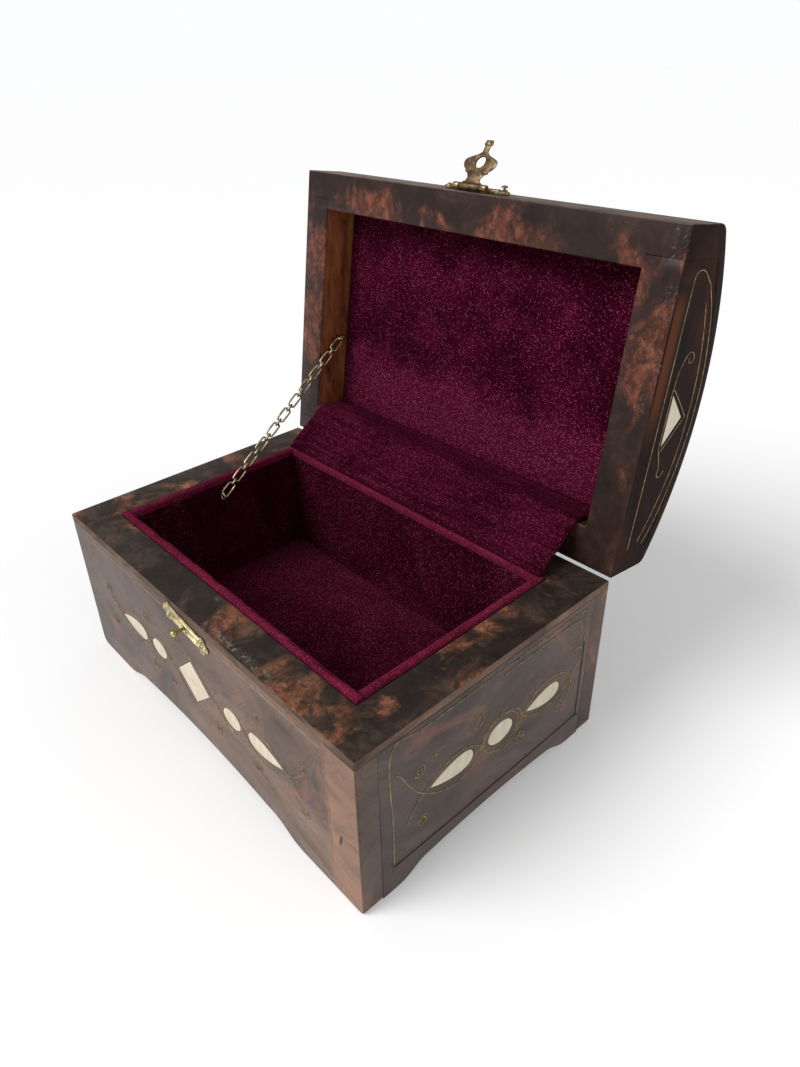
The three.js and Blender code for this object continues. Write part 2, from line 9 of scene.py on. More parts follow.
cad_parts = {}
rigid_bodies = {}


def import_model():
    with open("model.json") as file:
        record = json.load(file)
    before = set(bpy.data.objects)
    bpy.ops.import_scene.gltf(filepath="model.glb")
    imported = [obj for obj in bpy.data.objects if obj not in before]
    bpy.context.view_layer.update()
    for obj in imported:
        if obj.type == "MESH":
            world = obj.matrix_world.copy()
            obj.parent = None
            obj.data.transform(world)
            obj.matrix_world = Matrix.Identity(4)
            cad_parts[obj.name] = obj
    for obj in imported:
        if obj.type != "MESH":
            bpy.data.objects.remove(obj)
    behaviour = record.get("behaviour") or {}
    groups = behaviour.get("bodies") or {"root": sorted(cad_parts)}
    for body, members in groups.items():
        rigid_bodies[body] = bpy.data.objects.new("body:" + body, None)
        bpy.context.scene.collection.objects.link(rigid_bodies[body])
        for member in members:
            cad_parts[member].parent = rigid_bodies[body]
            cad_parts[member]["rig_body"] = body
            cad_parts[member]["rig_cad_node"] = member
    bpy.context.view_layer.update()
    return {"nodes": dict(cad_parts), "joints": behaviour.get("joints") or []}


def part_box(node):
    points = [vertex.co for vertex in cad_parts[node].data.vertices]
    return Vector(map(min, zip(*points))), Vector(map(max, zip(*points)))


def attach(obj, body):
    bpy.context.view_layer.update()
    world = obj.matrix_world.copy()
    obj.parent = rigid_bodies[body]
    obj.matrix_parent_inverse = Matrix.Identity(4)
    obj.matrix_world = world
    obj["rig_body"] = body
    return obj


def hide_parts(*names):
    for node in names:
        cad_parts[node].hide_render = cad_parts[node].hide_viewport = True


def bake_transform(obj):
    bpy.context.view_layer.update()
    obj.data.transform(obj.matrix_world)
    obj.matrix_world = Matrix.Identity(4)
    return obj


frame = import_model()
mm = 0.001

# ---- camera ----
# A hand-held view from above the box's front right corner, looking down into the open box.
camera_data = bpy.data.cameras.new("camera")
camera_data.sensor_width = 36
camera_data.lens = 26.52
camera_data.shift_x = 0.021
camera_data.shift_y = -0.0254
camera = bpy.data.objects.new("camera", camera_data)
heading = Matrix.Rotation(math.radians(49.1), 4, "Z")
pitch = Matrix.Rotation(math.radians(59.21), 4, "X")
roll = Matrix.Rotation(math.radians(-2.03), 4, "Z")
camera_place = Vector((0.2612, -0.2117, 0.2977))
camera.matrix_world = Matrix.Translation(camera_place) @ heading @ pitch @ roll
bpy.context.scene.collection.objects.link(camera)
bpy.context.scene.camera = camera
bpy.context.scene.view_settings.view_transform = "Standard"


# ---- studio ----
# A pale floor under a pale sky, with one broad soft light from above the front left and a weaker one on
# the right, so that the shadows stay soft.
def deselect():
    """Leaves nothing selected, in object mode."""
    if bpy.context.mode != "OBJECT":
        bpy.ops.object.mode_set(mode="OBJECT")
    bpy.ops.object.select_all(action="DESELECT")


def new_finish(name):
    """A material with its node tree and its shader."""
    finish = bpy.data.materials.new(name)
    finish.use_nodes = True
    return finish, finish.node_tree, finish.node_tree.nodes["Principled BSDF"]


def plug(tree, node, inputs):
    """Sets a node's inputs, given by name or number, each to a value or to another node's output."""
    for key, value in inputs.items():
        if isinstance(value, bpy.types.NodeSocket):
            tree.links.new(value, node.inputs[key])
        else:
            node.inputs[key].default_value = value


def put(tree, kind, settings=None, **sockets):
    """Adds a node, with its settings, and with each named socket set to a value or joined to an output."""
    made = tree.nodes.new("ShaderNode" + kind)
    for key, value in (settings or {}).items():
        setattr(made, key, value)
    plug(tree, made, {key.replace("_", " "): value for key, value in sockets.items()})
    return made


deselect()
bpy.ops.mesh.primitive_plane_add(size=14, location=(0, 0, -0.05 * mm))
floor = bpy.context.object
floor.name = "floor"
floor_finish, floor_tree, floor_shader = new_finish("pale_floor")
mottle = put(floor_tree, "TexNoise", Scale=3.0)
tint = put(floor_tree, "MapRange", Value=mottle.outputs["Fac"], To_Min=0.93, To_Max=0.95)
plug(floor_tree, floor_shader, {"Base Color": tint.outputs["Result"], "Roughness": 0.95,
                                "Specular IOR Level": 0.1, "Emission Color": (1, 1, 1, 1),
                                "Emission Strength": 0.2})
floor.data.materials.append(floor_finish)

sky = bpy.data.worlds.new("sky")
sky.use_nodes = True
sky_light = sky.node_tree.nodes["Background"]
seen = put(sky.node_tree, "LightPath").outputs["Is Camera Ray"]
strength = put(sky.node_tree, "MapRange", Value=seen, To_Min=0.36, To_Max=1.0)
plug(sky.node_tree, sky_light, {"Color": (0.98, 0.985, 1.0, 1), "Strength": strength.outputs["Result"]})
bpy.context.scene.world = sky


def soft_light(kind, name, place, target, power):
    """A soft light, aimed at a point."""
    bpy.ops.object.light_add(type=kind, location=place)
    light = bpy.context.object
    light.name = name
    light.data.energy = power
    aim = Vector(target) - Vector(place)
    light.rotation_euler = aim.to_track_quat("-Z", "Y").to_euler()
    return light


key_light = soft_light("SUN", "key_light", (-0.45, -1.0, 1.1), (0, 0, 0.08), 2.25)
key_light.data.angle = math.radians(36)
side_light = soft_light("AREA", "side_light", (1.3, 0.1, 0.7), (0, 0, 0.1), 2.5)
side_light.data.size = 0.8

# ---- carcase boards ----
# Four boards of figured brown walnut under a satin varnish, all sawn below to flat feet and a shallow
# arch. The front and rear boards lap over the ends of the side boards, and each outer arris is rubbed
# soft.
box_low, box_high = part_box("front_board")
left_face, right_face = box_low.x, box_high.x
front_face, rear_face = box_low.y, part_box("rear_board")[1].y
middle_y = (front_face + rear_face) / 2
arris = 0.8 * mm
seam = 0.06 * mm
glue_reach = 0.45 * mm  # how near a piece's glued neighbour lies


def shape_tree(node):
    """A search tree of one CAD piece."""
    shape = bmesh.new()
    shape.from_mesh(frame["nodes"][node].data)
    tree = BVHTree.FromBMesh(shape)
    shape.free()
    return tree


def edit_whole():
    """Opens the active piece in edit mode, with all of it selected."""
    bpy.ops.object.mode_set(mode="EDIT")
    bpy.ops.mesh.select_all(action="SELECT")


def cut_across(place, direction):
    """Cuts through the whole piece, in edit mode, at a place and across a direction."""
    bpy.ops.mesh.select_all(action="SELECT")
    bpy.ops.mesh.bisect(plane_co=place, plane_no=direction)


def copy_of(node, name):
    """A copy of a CAD piece with its corners merged and its flat faces whole, ready to be worked on."""
    deselect()
    source = frame["nodes"][node]
    source.select_set(True)
    bpy.context.view_layer.objects.active = source
    bpy.ops.object.duplicate()
    piece = bpy.context.object
    piece.name = name
    piece.parent = None
    del piece["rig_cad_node"]
    del piece["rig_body"]
    piece.data.materials.clear()
    edit_whole()
    bpy.ops.mesh.remove_doubles(threshold=0.002 * mm)
    bpy.ops.mesh.dissolve_limited(angle_limit=math.radians(0.3))
    bpy.ops.mesh.customdata_custom_splitnormals_clear()
    bpy.ops.object.mode_set(mode="OBJECT")
    return piece


def close_up(piece, neighbours):
    """Moves the piece's corners across the saw-cut clearance, up to its glued neighbours."""
    for tree in neighbours:
        for corner in piece.data.vertices:
            near = tree.find_nearest(corner.co, glue_reach)[0]
            if near is not None:
                corner.co = near.lerp(corner.co, 0.03)


def round_edges(piece, width, segments=3, wanted=lambda place: True, sharp=30):
    """Rounds the piece's sharp edges, those whose middle `wanted` says yes to."""
    bpy.context.view_layer.objects.active = piece
    bpy.ops.object.mode_set(mode="EDIT")
    bpy.ops.mesh.select_mode(type="EDGE")
    bpy.ops.mesh.select_all(action="DESELECT")
    shape = bmesh.from_edit_mesh(piece.data)
    limit = math.radians(sharp)
    for edge in shape.edges:
        if edge.is_manifold and edge.calc_face_angle(0) > limit:
            edge.select_set(wanted((edge.verts[0].co + edge.verts[1].co) / 2))
    bmesh.update_edit_mesh(piece.data)
    bpy.ops.mesh.bevel(offset=width, segments=segments, profile=0.5, affect="EDGES")
    bpy.ops.object.mode_set(mode="OBJECT")
    piece.select_set(True)
    bpy.ops.object.shade_smooth_by_angle(angle=math.radians(sharp + 8))


wooden = [n for n in frame["nodes"] if "board" in n or "strip" in n or "inlay" in n]
wooden += ["lid_front_rail", "lid_rear_rail", "lid_left_end", "lid_right_end", "lid_top_panel"]
wood_trees = {n: shape_tree(n) for n in wooden}


def fitted_board(node, name, glued_to=(), splits=()):
    """A board fitted up to its neighbours: its free edges are rubbed round, and its seams stay tight.
    An edge that is free for part of its length is first split there, at a place and across a direction."""
    board = copy_of(node, name)
    bpy.ops.object.mode_set(mode="EDIT")
    for place, across in splits:
        cut_across(place, across)
    bpy.ops.object.mode_set(mode="OBJECT")
    close_up(board, [wood_trees[n] for n in glued_to])
    others = [tree for n, tree in wood_trees.items() if n != node]

    def free(place):
        return not any(tree.find_nearest(place, glue_reach)[0] for tree in others)

    round_edges(board, arris, 3, free, sharp=40)
    round_edges(board, seam, 1, lambda place: not free(place), sharp=40)
    return board


def done(piece, body, slot, finish, *nodes):
    """Gives a finished piece its material and its body, and hides the CAD pieces it stands for. The slot is
    not used.
    """
    piece.data.materials.append(finish)
    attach(piece, body)
    if nodes:
        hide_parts(*nodes)


def ramp(tree, value, *stops):
    """A colour ramp through (place, colour) stops."""
    made = put(tree, "ValToRGB", Fac=value)
    stripe = made.color_ramp
    while len(stripe.elements) < len(stops):
        stripe.elements.new(0.5)
    for element, (place, colour) in zip(stripe.elements, stops):
        element.position = place
        element.color = (*colour, 1)
    return made.outputs["Color"]


def mixed(tree, factor, first, second, mode="MIX"):
    """Two colours mixed."""
    made = put(tree, "Mix", {"data_type": "RGBA", "blend_type": mode})
    first, second = (c if isinstance(c, bpy.types.NodeSocket) else (*c, 1) for c in (first, second))
    plug(tree, made, {0: factor, 6: first, 7: second})
    return made.outputs[2]


def fade(tree, value, low, high):
    """0 below low, 1 above high, and smooth between. Low may be the greater."""
    smooth = {"interpolation_type": "SMOOTHSTEP"}
    return put(tree, "MapRange", smooth, Value=value, From_Min=low, From_Max=high).outputs["Result"]


def spread(tree, value, low, high):
    """A value from 0 to 1 spread between low and high."""
    return put(tree, "MapRange", Value=value, To_Min=low, To_Max=high).outputs["Result"]


def maths(tree, operation, first, second=0.0):
    """One step of arithmetic."""
    made = put(tree, "Math", {"operation": operation})
    plug(tree, made, {0: first, 1: second})
    return made.outputs[0]


def product(tree, *values):
    """Several values multiplied together."""
    result = values[0]
    for value in values[1:]:
        result = maths(tree, "MULTIPLY", result, value)
    return result


def clouds(tree, where, scale, detail=4.0, roughness=0.5, distortion=0.0):
    """Soft noise from 0 to 1. The scale is in features per metre."""
    made = put(tree, "TexNoise", Vector=where, Scale=scale, Detail=detail, Roughness=roughness,
               Distortion=distortion)
    return made.outputs["Fac"]


def axes(tree, where):
    """The X, Y and Z of each place."""
    return tuple(put(tree, "SeparateXYZ", Vector=where).outputs)


def on_face(tree, value, face, full=0.2 * mm):
    """1 on an outer face, and 0 from half a millimetre inside it."""
    return fade(tree, value, face - 0.5 * mm, face - full)


def stretched(tree, where, stretch, shift=(0, 0, 0)):
    """Coordinates scaled along each axis, which draws a pattern out along the smallest."""
    return put(tree, "Mapping", Vector=where, Scale=stretch, Location=shift).outputs["Vector"]


def spot(tree, where, place, size, turn=(0, 0, 0)):
    """1 inside a small ellipsoid about a place, and 0 outside."""
    near = put(tree, "Mapping", {"vector_type": "TEXTURE"}, Vector=where, Location=place, Rotation=turn,
               Scale=size)
    far = put(tree, "VectorMath", {"operation": "LENGTH"}, Vector=near.outputs["Vector"]).outputs["Value"]
    return fade(tree, far, 1.0, 0.6)


def bumped(tree, shader, height, distance, strength):
    """Raises the surface by a pattern."""
    made = put(tree, "Bump", Height=height, Distance=distance, Strength=strength)
    tree.links.new(made.outputs["Normal"], shader.inputs["Normal"])


def figured_wood(name, grain, tones, redder, shift, marks=(), darkened=0.0, warmth=0.8):
    """Brown wood with contour-like figure, warm clouds, redder strips across its ends, and old marks."""
    finish, tree, shader = new_finish(name)
    where = put(tree, "TexCoord").outputs["Object"]
    x = axes(tree, where)[0]
    drawn = stretched(tree, where, grain, shift)
    ground = ramp(tree, clouds(tree, drawn, 24, 7, 0.62, 1.0), *zip((0.33, 0.47, 0.61, 0.78), tones))
    warm = clouds(tree, stretched(tree, where, grain, (0.3, 0.1, 0.2)), 30, 6, 0.62, 0.9)
    warm = product(tree, fade(tree, warm, 0.53, 0.72), warmth)
    ground = mixed(tree, warm, ground, (0.34, 0.135, 0.085))

    axis, reach, *red_tones = redder
    end_face = on_face(tree, x, right_face) if axis == 0 else 0.0
    wander = product(tree, clouds(tree, where, 34), 7 * mm)
    strip = fade(tree, maths(tree, "ADD", axes(tree, where)[axis], wander), reach, reach + 4 * mm)
    strip = product(tree, strip, maths(tree, "SUBTRACT", 1.0, end_face))
    strip_ground = ramp(tree, clouds(tree, drawn, 42, 6, 0.6, 0.8), *zip((0.32, 0.52, 0.7), red_tones))
    ground = mixed(tree, product(tree, strip, 0.9), ground, strip_ground)

    swirl = clouds(tree, drawn, 17, 2.2, 0.5, 1.1)
    contour = maths(tree, "SINE", product(tree, swirl, 260.0))
    broken = fade(tree, clouds(tree, drawn, 60, 3, 0.6), 0.36, 0.62)
    plain = maths(tree, "SUBTRACT", 1.0, product(tree, strip, 0.6))
    lines = product(tree, fade(tree, contour, 0.45, 1.0), broken, plain)
    ground = mixed(tree, product(tree, lines, 0.5), ground, (0.06, 0.038, 0.03))
    pores = fade(tree, clouds(tree, stretched(tree, where, grain), 700, 3, 0.7), 0.55, 0.72)
    ground = mixed(tree, product(tree, pores, 0.4), ground, (0.07, 0.045, 0.036))

    shade = maths(tree, "MAXIMUM", product(tree, end_face, 0.5), fade(tree, x, 0, left_face * 1.6))
    ground = mixed(tree, product(tree, shade, darkened), ground, (0.03, 0.02, 0.016))
    for place, size, turn in marks:
        hole = product(tree, spot(tree, where, place, size, turn), 0.9)
        ground = mixed(tree, hole, ground, (0.015, 0.01, 0.008))
    polish = spread(tree, clouds(tree, where, 60, 6, 0.7), 0.32, 0.62)
    plug(tree, shader, {"Base Color": ground, "Roughness": polish, "Specular IOR Level": 0.22,
                        "Coat Weight": 0.05, "Coat Roughness": 0.35})
    relief = maths(tree, "SUBTRACT", clouds(tree, drawn, 170, 5, 0.6), product(tree, lines, 0.6))
    bumped(tree, shader, relief, 0.12 * mm, 0.6)
    return finish


mark_depth = 3 * mm
front_marks = []
for x, z, wide, high, lean in ((-104, 30, 0.9, 1.3, 0), (-109, 54, 1.6, 0.6, 0.3), (46, 28, 3.2, 0.5, 0.5),
                               (53, 27, 2.2, 0.4, 0.2), (58, 24, 0.9, 0.5, 0), (104, 36, 0.9, 4.4, 0.25),
                               (112, 39, 3.6, 0.3, 0.1)):
    front_marks.append(((x * mm, front_face, z * mm), (wide * mm, mark_depth, high * mm), (0, lean, 0)))
walnut_tones = ((0.068, 0.044, 0.034), (0.122, 0.08, 0.06), (0.19, 0.12, 0.087), (0.28, 0.19, 0.142))
front_ends = (0, 99 * mm, (0.38, 0.2, 0.115), (0.27, 0.15, 0.1), (0.15, 0.085, 0.06))
front_wood = figured_wood("front_walnut", (0.6, 1, 1), walnut_tones, front_ends, (0, 0, 0), front_marks,
                          darkened=0.75)
rear_tones = ((0.035, 0.02, 0.016), (0.075, 0.038, 0.028), (0.12, 0.058, 0.042), (0.18, 0.09, 0.064))
rear_ends = (0, 140 * mm, *rear_tones[1:])
rear_wood = figured_wood("rear_walnut", (0.6, 1, 1), rear_tones, rear_ends, (0.7, 0.3, 0.2))
side_tones = ((0.032, 0.023, 0.02), (0.064, 0.045, 0.038), (0.105, 0.071, 0.058), (0.16, 0.11, 0.09))
side_ends = (1, 60 * mm, (0.2, 0.09, 0.06), (0.15, 0.07, 0.05), (0.08, 0.04, 0.03))
side_marks = [((right_face, -84 * mm, 15 * mm), (mark_depth, 0.4 * mm, 5.5 * mm), (0.1, 0, 0))]
side_wood = figured_wood("side_walnut", (1, 0.6, 1), side_tones, side_ends, (0.4, 0.2, 0.1), side_marks,
                         warmth=0.4)

boards = (("front_board", "front_panel", front_wood, ()), ("rear_board", "rear_panel", rear_wood, ()),
          ("left_side_board", "left_panel", side_wood, ("front_board", "rear_board")),
          ("right_side_board", "right_panel", side_wood, ("front_board", "rear_board")))
for node, name, finish, glued_to in boards:
    done(fitted_board(node, name, glued_to), "box", "figured_wood", finish, node)

# ---- bone inlays ----
# Flat slips of polished bone let into shallow pockets: leaves, ovals, a diamond in two halves, and a lid
# triangle.
bone, bone_tree, bone_shader = new_finish("polished_bone")
bone_where = put(bone_tree, "TexCoord").outputs["Object"]
bone_streak = clouds(bone_tree, stretched(bone_tree, bone_where, (1, 1, 0.3)), 260, 4, 0.6, 0.6)
bone_colour = ramp(bone_tree, bone_streak, (0.32, (0.72, 0.64, 0.49)), (0.7, (0.6, 0.51, 0.37)))
bone_stain = fade(bone_tree, clouds(bone_tree, bone_where, 90, 3, 0.6), 0.6, 0.8)
bone_colour = mixed(bone_tree, product(bone_tree, bone_stain, 0.35), bone_colour, (0.45, 0.36, 0.23))
plug(bone_tree, bone_shader, {"Base Color": bone_colour, "Roughness": 0.42})
bumped(bone_tree, bone_shader, bone_streak, 0.05 * mm, 0.5)

for node in sorted(n for n in frame["nodes"] if "inlay" in n):
    slip = copy_of(node, node + "_slip")
    round_edges(slip, 0.18 * mm, 2)
    body = "lid" if node.startswith("lid") else "box"
    done(slip, body, "bone", bone, node)


# ---- bottom board ----
# A plain board between the four sides, hidden by the velvet above and seen only from below.
plain_wood, plain_tree, plain_shader = new_finish("plain_wood")
plain_where = put(plain_tree, "TexCoord").outputs["Object"]
plain_grain = clouds(plain_tree, stretched(plain_tree, plain_where, (0.08, 1, 1)), 240, 6, 0.6, 0.4)
plain_colour = ramp(plain_tree, plain_grain, (0.3, (0.26, 0.15, 0.08)), (0.7, (0.14, 0.075, 0.04)))
plug(plain_tree, plain_shader, {"Base Color": plain_colour, "Roughness": 0.6})
bumped(plain_tree, plain_shader, plain_grain, 0.2 * mm, 0.5)
bottom = copy_of("bottom_board", "bottom_panel")
round_edges(bottom, 0.5 * mm)
done(bottom, "box", "plain_wood", plain_wood, "bottom_board")

# ---- rim strips ----
# Thin strips of glossy burl capping the four boards: charcoal brown, with orange and red clouds where the
# figure runs lighter, and worn pale along the front edge beside the strike.
charcoal = ((0.012, 0.009, 0.007), (0.032, 0.022, 0.017), (0.07, 0.046, 0.033), (0.12, 0.077, 0.054))
orange = ((0.06, 0.022, 0.014), (0.15, 0.055, 0.031), (0.27, 0.108, 0.056), (0.4, 0.19, 0.105))


def burl_wood(name, amount, shift, grain, sides, worn=None, glowing=None, tones=charcoal, embers=orange):
    """Dark burl with mottled orange clouds: more of them for a greater amount, and where it is glowing."""
    finish, tree, shader = new_finish(name)
    where = put(tree, "TexCoord").outputs["Object"]
    drawn = stretched(tree, where, grain, shift)
    ground = ramp(tree, clouds(tree, drawn, 60, 8, 0.68, 0.6), *zip((0.3, 0.5, 0.62, 0.76), tones))
    cloud = clouds(tree, drawn, 34, 6, 0.62, 0.8)
    if glowing:
        cloud = maths(tree, "ADD", cloud, product(tree, glowing(tree, where), 0.13))
    patch = fade(tree, cloud, 0.62 - amount, 0.74 - amount)
    ember = ramp(tree, clouds(tree, drawn, 190, 8, 0.75, 0.6), *zip((0.32, 0.45, 0.56, 0.72), embers))
    ground = mixed(tree, patch, ground, ember)
    vein = fade(tree, clouds(tree, drawn, 210, 6, 0.75, 1.4), 0.5, 0.62)
    ground = mixed(tree, product(tree, vein, 0.72), ground, (0.022, 0.013, 0.01))
    ground, dull = sides(tree, where, ground)
    polish = spread(tree, clouds(tree, where, 75, 6, 0.7), 0.26, 0.58)
    polish = maths(tree, "MAXIMUM", polish, product(tree, dull, 0.8))
    shine = spread(tree, dull, 0.2, 0.07)
    if worn:
        scuff = worn(tree, where)
        ground = mixed(tree, scuff, ground, (0.34, 0.33, 0.31))
        polish = maths(tree, "MAXIMUM", polish, scuff)
    plug(tree, shader, {"Base Color": ground, "Roughness": polish, "Specular IOR Level": shine,
                        "Coat Weight": 0.04, "Coat Roughness": 0.25})
    bumped(tree, shader, clouds(tree, drawn, 230, 5, 0.6, 0.5), 0.15 * mm, 0.5)
    return finish


def between(tree, value, start, full, end, none):
    """Rises from 0 to 1 from start to full, and falls to 0 again from end to none."""
    return product(tree, fade(tree, value, start, full), fade(tree, value, none, end))


def front_scuff(tree, where):
    """Pale flecks of wear along the front strip's outer edge, to the right of the strike."""
    x, y = axes(tree, where)[:2]
    near = fade(tree, y, front_face + 6.5 * mm, front_face + 3 * mm)
    off = fade(tree, y, front_face + 0.6 * mm, front_face + 2 * mm)
    span = between(tree, x, 12 * mm, 24 * mm, 58 * mm, 68 * mm)
    flecks = fade(tree, clouds(tree, where, 800, 5, 0.8), 0.5, 0.68)
    return product(tree, near, off, span, flecks, 0.8)


def rim_glow(tree, where):
    """More figure on the left strip, along the right strip's inner side, in the middle, and at the front
    right corner."""
    x, y = axes(tree, where)[:2]
    side = between(tree, x, 88 * mm, 95 * mm, 102 * mm, 112 * mm)
    along = fade(tree, y, 30 * mm, 12 * mm)
    midway = between(tree, x, -34 * mm, -22 * mm, 30 * mm, 48 * mm)
    corner = spot(tree, where, (90 * mm, -90 * mm, 87 * mm), (38 * mm, 20 * mm, 9 * mm))
    left = fade(tree, x, -92 * mm, -98 * mm)
    lesser = product(tree, maths(tree, "MAXIMUM", midway, corner), 0.7)
    return maths(tree, "MAXIMUM", maths(tree, "MAXIMUM", product(tree, side, along), left), lesser)


def walnut_edge(tree, where, ground, edge):
    """Lighter walnut on an edge, in place of the burl."""
    drawn = stretched(tree, where, (0.5, 0.5, 2))
    lighter = ramp(tree, clouds(tree, drawn, 48, 8, 0.68, 1.4), *zip((0.32, 0.46, 0.6, 0.78), walnut_tones))
    pores = fade(tree, clouds(tree, drawn, 600, 3, 0.7), 0.5, 0.7)
    lighter = mixed(tree, product(tree, pores, 0.45), lighter, (0.05, 0.032, 0.025))
    return mixed(tree, edge, ground, lighter)


def rim_sides(tree, where, ground):
    """The strips' outer edges show the same walnut as the boards below."""
    x, y = axes(tree, where)[:2]
    ends = on_face(tree, maths(tree, "ABSOLUTE", x), right_face, 0.25 * mm)
    from_middle = maths(tree, "ABSOLUTE", maths(tree, "SUBTRACT", y, middle_y))
    long_edges = on_face(tree, from_middle, rear_face - middle_y, 0.25 * mm)
    edge = maths(tree, "MAXIMUM", ends, long_edges)
    return walnut_edge(tree, where, ground, edge), edge


rim_burl = burl_wood("rim_burl", 0.05, (0.05, 0.1, 0), (0.8, 0.8, 1), rim_sides, front_scuff, rim_glow)
rim_glue = {"front": ["front_board"], "rear": ["rear_board"],
            "left": ["left_side_board", "front_rim_strip", "rear_rim_strip"],
            "right": ["right_side_board", "front_rim_strip", "rear_rim_strip"]}
unit = Matrix.Identity(3)  # its rows are the directions of X, Y and Z
side_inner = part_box("right_side_board")[0].x
rim_corners = [(unit[0] * end * side_inner, unit[0]) for end in (-1, 1)]
for side, glued_to in rim_glue.items():
    node = side + "_rim_strip"
    strip = fitted_board(node, side + "_rim", glued_to, rim_corners if side in ("front", "rear") else ())
    done(strip, "box", "burl", rim_burl, node)

# ---- velvet linings ----
# Card pads wrapped in burgundy velvet, glued to the four walls, with the velvet rolled over their top
# edges, and a loose pad on the bottom.
# The rolled top edges take a much brighter copy of the velvet, as painted light where they face up.
def velvet_finish(name, deep, bright, nap, sparkle, nap_and_sheen_by=None):
    """Velvet: a deep pile with a pink sheen, painted lighter and darker in patches along its brushed nap as
    painted sheen, with pale specks on its tips as painted glints and lint.
    """
    finish, tree, shader = new_finish(name)
    where = put(tree, "TexCoord").outputs["Object"]
    nap_and_sheen = clouds(tree, where, nap, 4, 0.6, 0.4)
    if nap_and_sheen_by:
        nap_and_sheen = maths(tree, "ADD", nap_and_sheen, nap_and_sheen_by(tree, where))
    # Painted sheen: where this nap mask is high, the velvet is painted brighter.
    painted_sheen = fade(tree, nap_and_sheen, 0.25, 0.85)
    pile = clouds(tree, where, 1300, 3, 0.7)
    ground = mixed(tree, painted_sheen, deep, bright)
    tuft = fade(tree, pile, 0.42, 0.72)
    ground = mixed(tree, tuft, ground, tuple(1.2 * c for c in bright), "ADD")
    # Painted glints and lint: pale pink specks on the pile tips, more of them where the painted sheen is
    # bright.
    dots = put(tree, "TexVoronoi", Vector=where, Scale=1500.0, Randomness=1.0)
    chance = put(tree, "SeparateColor", Color=dots.outputs["Color"]).outputs["Red"]
    share = maths(tree, "ADD", product(tree, painted_sheen, 0.4), 0.14)
    chosen = maths(tree, "LESS_THAN", chance, share)
    glint_and_lint = product(tree, fade(tree, dots.outputs["Distance"], 0.42, 0.2), chosen)
    ground = mixed(tree, product(tree, glint_and_lint, sparkle), ground, (0.48, 0.12, 0.2))
    plug(tree, shader, {"Base Color": ground, "Roughness": 0.95, "Specular IOR Level": 0.0,
                        "Sheen Weight": 0.14, "Sheen Roughness": 0.3, "Sheen Tint": (0.6, 0.05, 0.2, 1)})
    bumped(tree, shader, pile, 0.5 * mm, 0.7)
    return finish


wine = (0.012, 0.0008, 0.0035)
cherry = (0.045, 0.003, 0.011)
velvet = velvet_finish("burgundy_velvet", wine, cherry, 26, 0.6)
# Painted light: a much brighter copy of the same velvet, for the rolled top edges that face up.
velvet_lit_edge = velvet_finish("crimson_velvet_lit_edge", (0.07, 0.006, 0.018), (0.14, 0.012, 0.036), 80, 0.35)
roll_depth = 4 * mm
roll_radius = 1.95 * mm


def block(name, low, high):
    """A plain block between two corners."""
    deselect()
    bpy.ops.mesh.primitive_cube_add(size=1, location=(low + high) / 2, scale=high - low)
    bpy.context.object.name = name
    bpy.ops.object.transform_apply(location=True, rotation=True, scale=True)
    return bpy.context.object


def lining(node, name, along, steps):
    """An upright pad with a rolled top edge, a little uneven along its length."""
    low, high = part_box(node)
    pad = block(name, low, high)
    across = 1 - along
    centre = (low[across] + high[across]) / 2

    def top_edge(place):
        return place.z > high.z - 1 * mm and abs(place[across] - centre) > 1 * mm

    round_edges(pad, roll_radius, 5, top_edge)
    bpy.ops.object.mode_set(mode="EDIT")
    for step in range(1, steps):
        cut_across(unit[along] * (low[along] + (high[along] - low[along]) * step / steps), unit[along])
    for depth in (roll_depth, 12 * mm, 30 * mm, 50 * mm):
        cut_across(unit[2] * (high.z - depth), unit[2])
    bpy.ops.object.mode_set(mode="OBJECT")
    inward = 1 if centre < (0, middle_y)[across] else -1
    for corner in pad.data.vertices:
        wave = noise.noise(corner.co * 70) * 0.4 * mm + noise.noise(corner.co * 300) * 0.22 * mm
        side = 1 if corner.co[across] > centre else -1
        if side == inward:
            corner.co[across] += side * min(wave, 0.1 * mm)
        if corner.co.z > high.z - roll_depth:
            corner.co.z += wave
    pad.data.materials.append(velvet)
    pad.data.materials.append(velvet_lit_edge)
    # The rolled top takes the brighter copy of the velvet, as painted light.
    for face in pad.data.polygons:
        face.material_index = 1 if face.center.z > high.z - roll_depth else 0
        face.use_smooth = True
    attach(pad, "box")
    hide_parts(node)


for side, along, steps in (("front", 0, 90), ("rear", 0, 90), ("left", 1, 50), ("right", 1, 50)):
    lining(side + "_lining", side + "_velvet", along, steps)


def smoothed(piece):
    """Shades a piece smooth all over."""
    for face in piece.data.polygons:
        face.use_smooth = True


def swollen_pad(name, size, cuts, swell):
    """A thin stuffed pad about the origin, flat in X and Y: its faces swell, and its edges pull in."""
    pad = block(name, -size / 2, size / 2)
    bpy.ops.object.mode_set(mode="EDIT")
    for axis, count in enumerate(cuts):
        for step in range(1, count):
            cut_across(unit[axis] * size[axis] * (step / count - 0.5), unit[axis])
    bpy.ops.object.mode_set(mode="OBJECT")
    round_edges(pad, 0.8 * mm, 3)
    for corner in pad.data.vertices:
        across, up = (2 * corner.co[i] / size[i] for i in (0, 1))
        crown = max(0, 1 - across ** 8) * max(0, 1 - up ** 8)
        side = 1 if corner.co.z > 0 else -1
        wave = noise.noise(corner.co * 45) * 0.45 * mm + noise.noise(corner.co * 160) * 0.15 * mm
        corner.co.z += side * (crown * (swell + wave) - (1 - crown) * 0.5 * mm)
    smoothed(pad)
    return pad


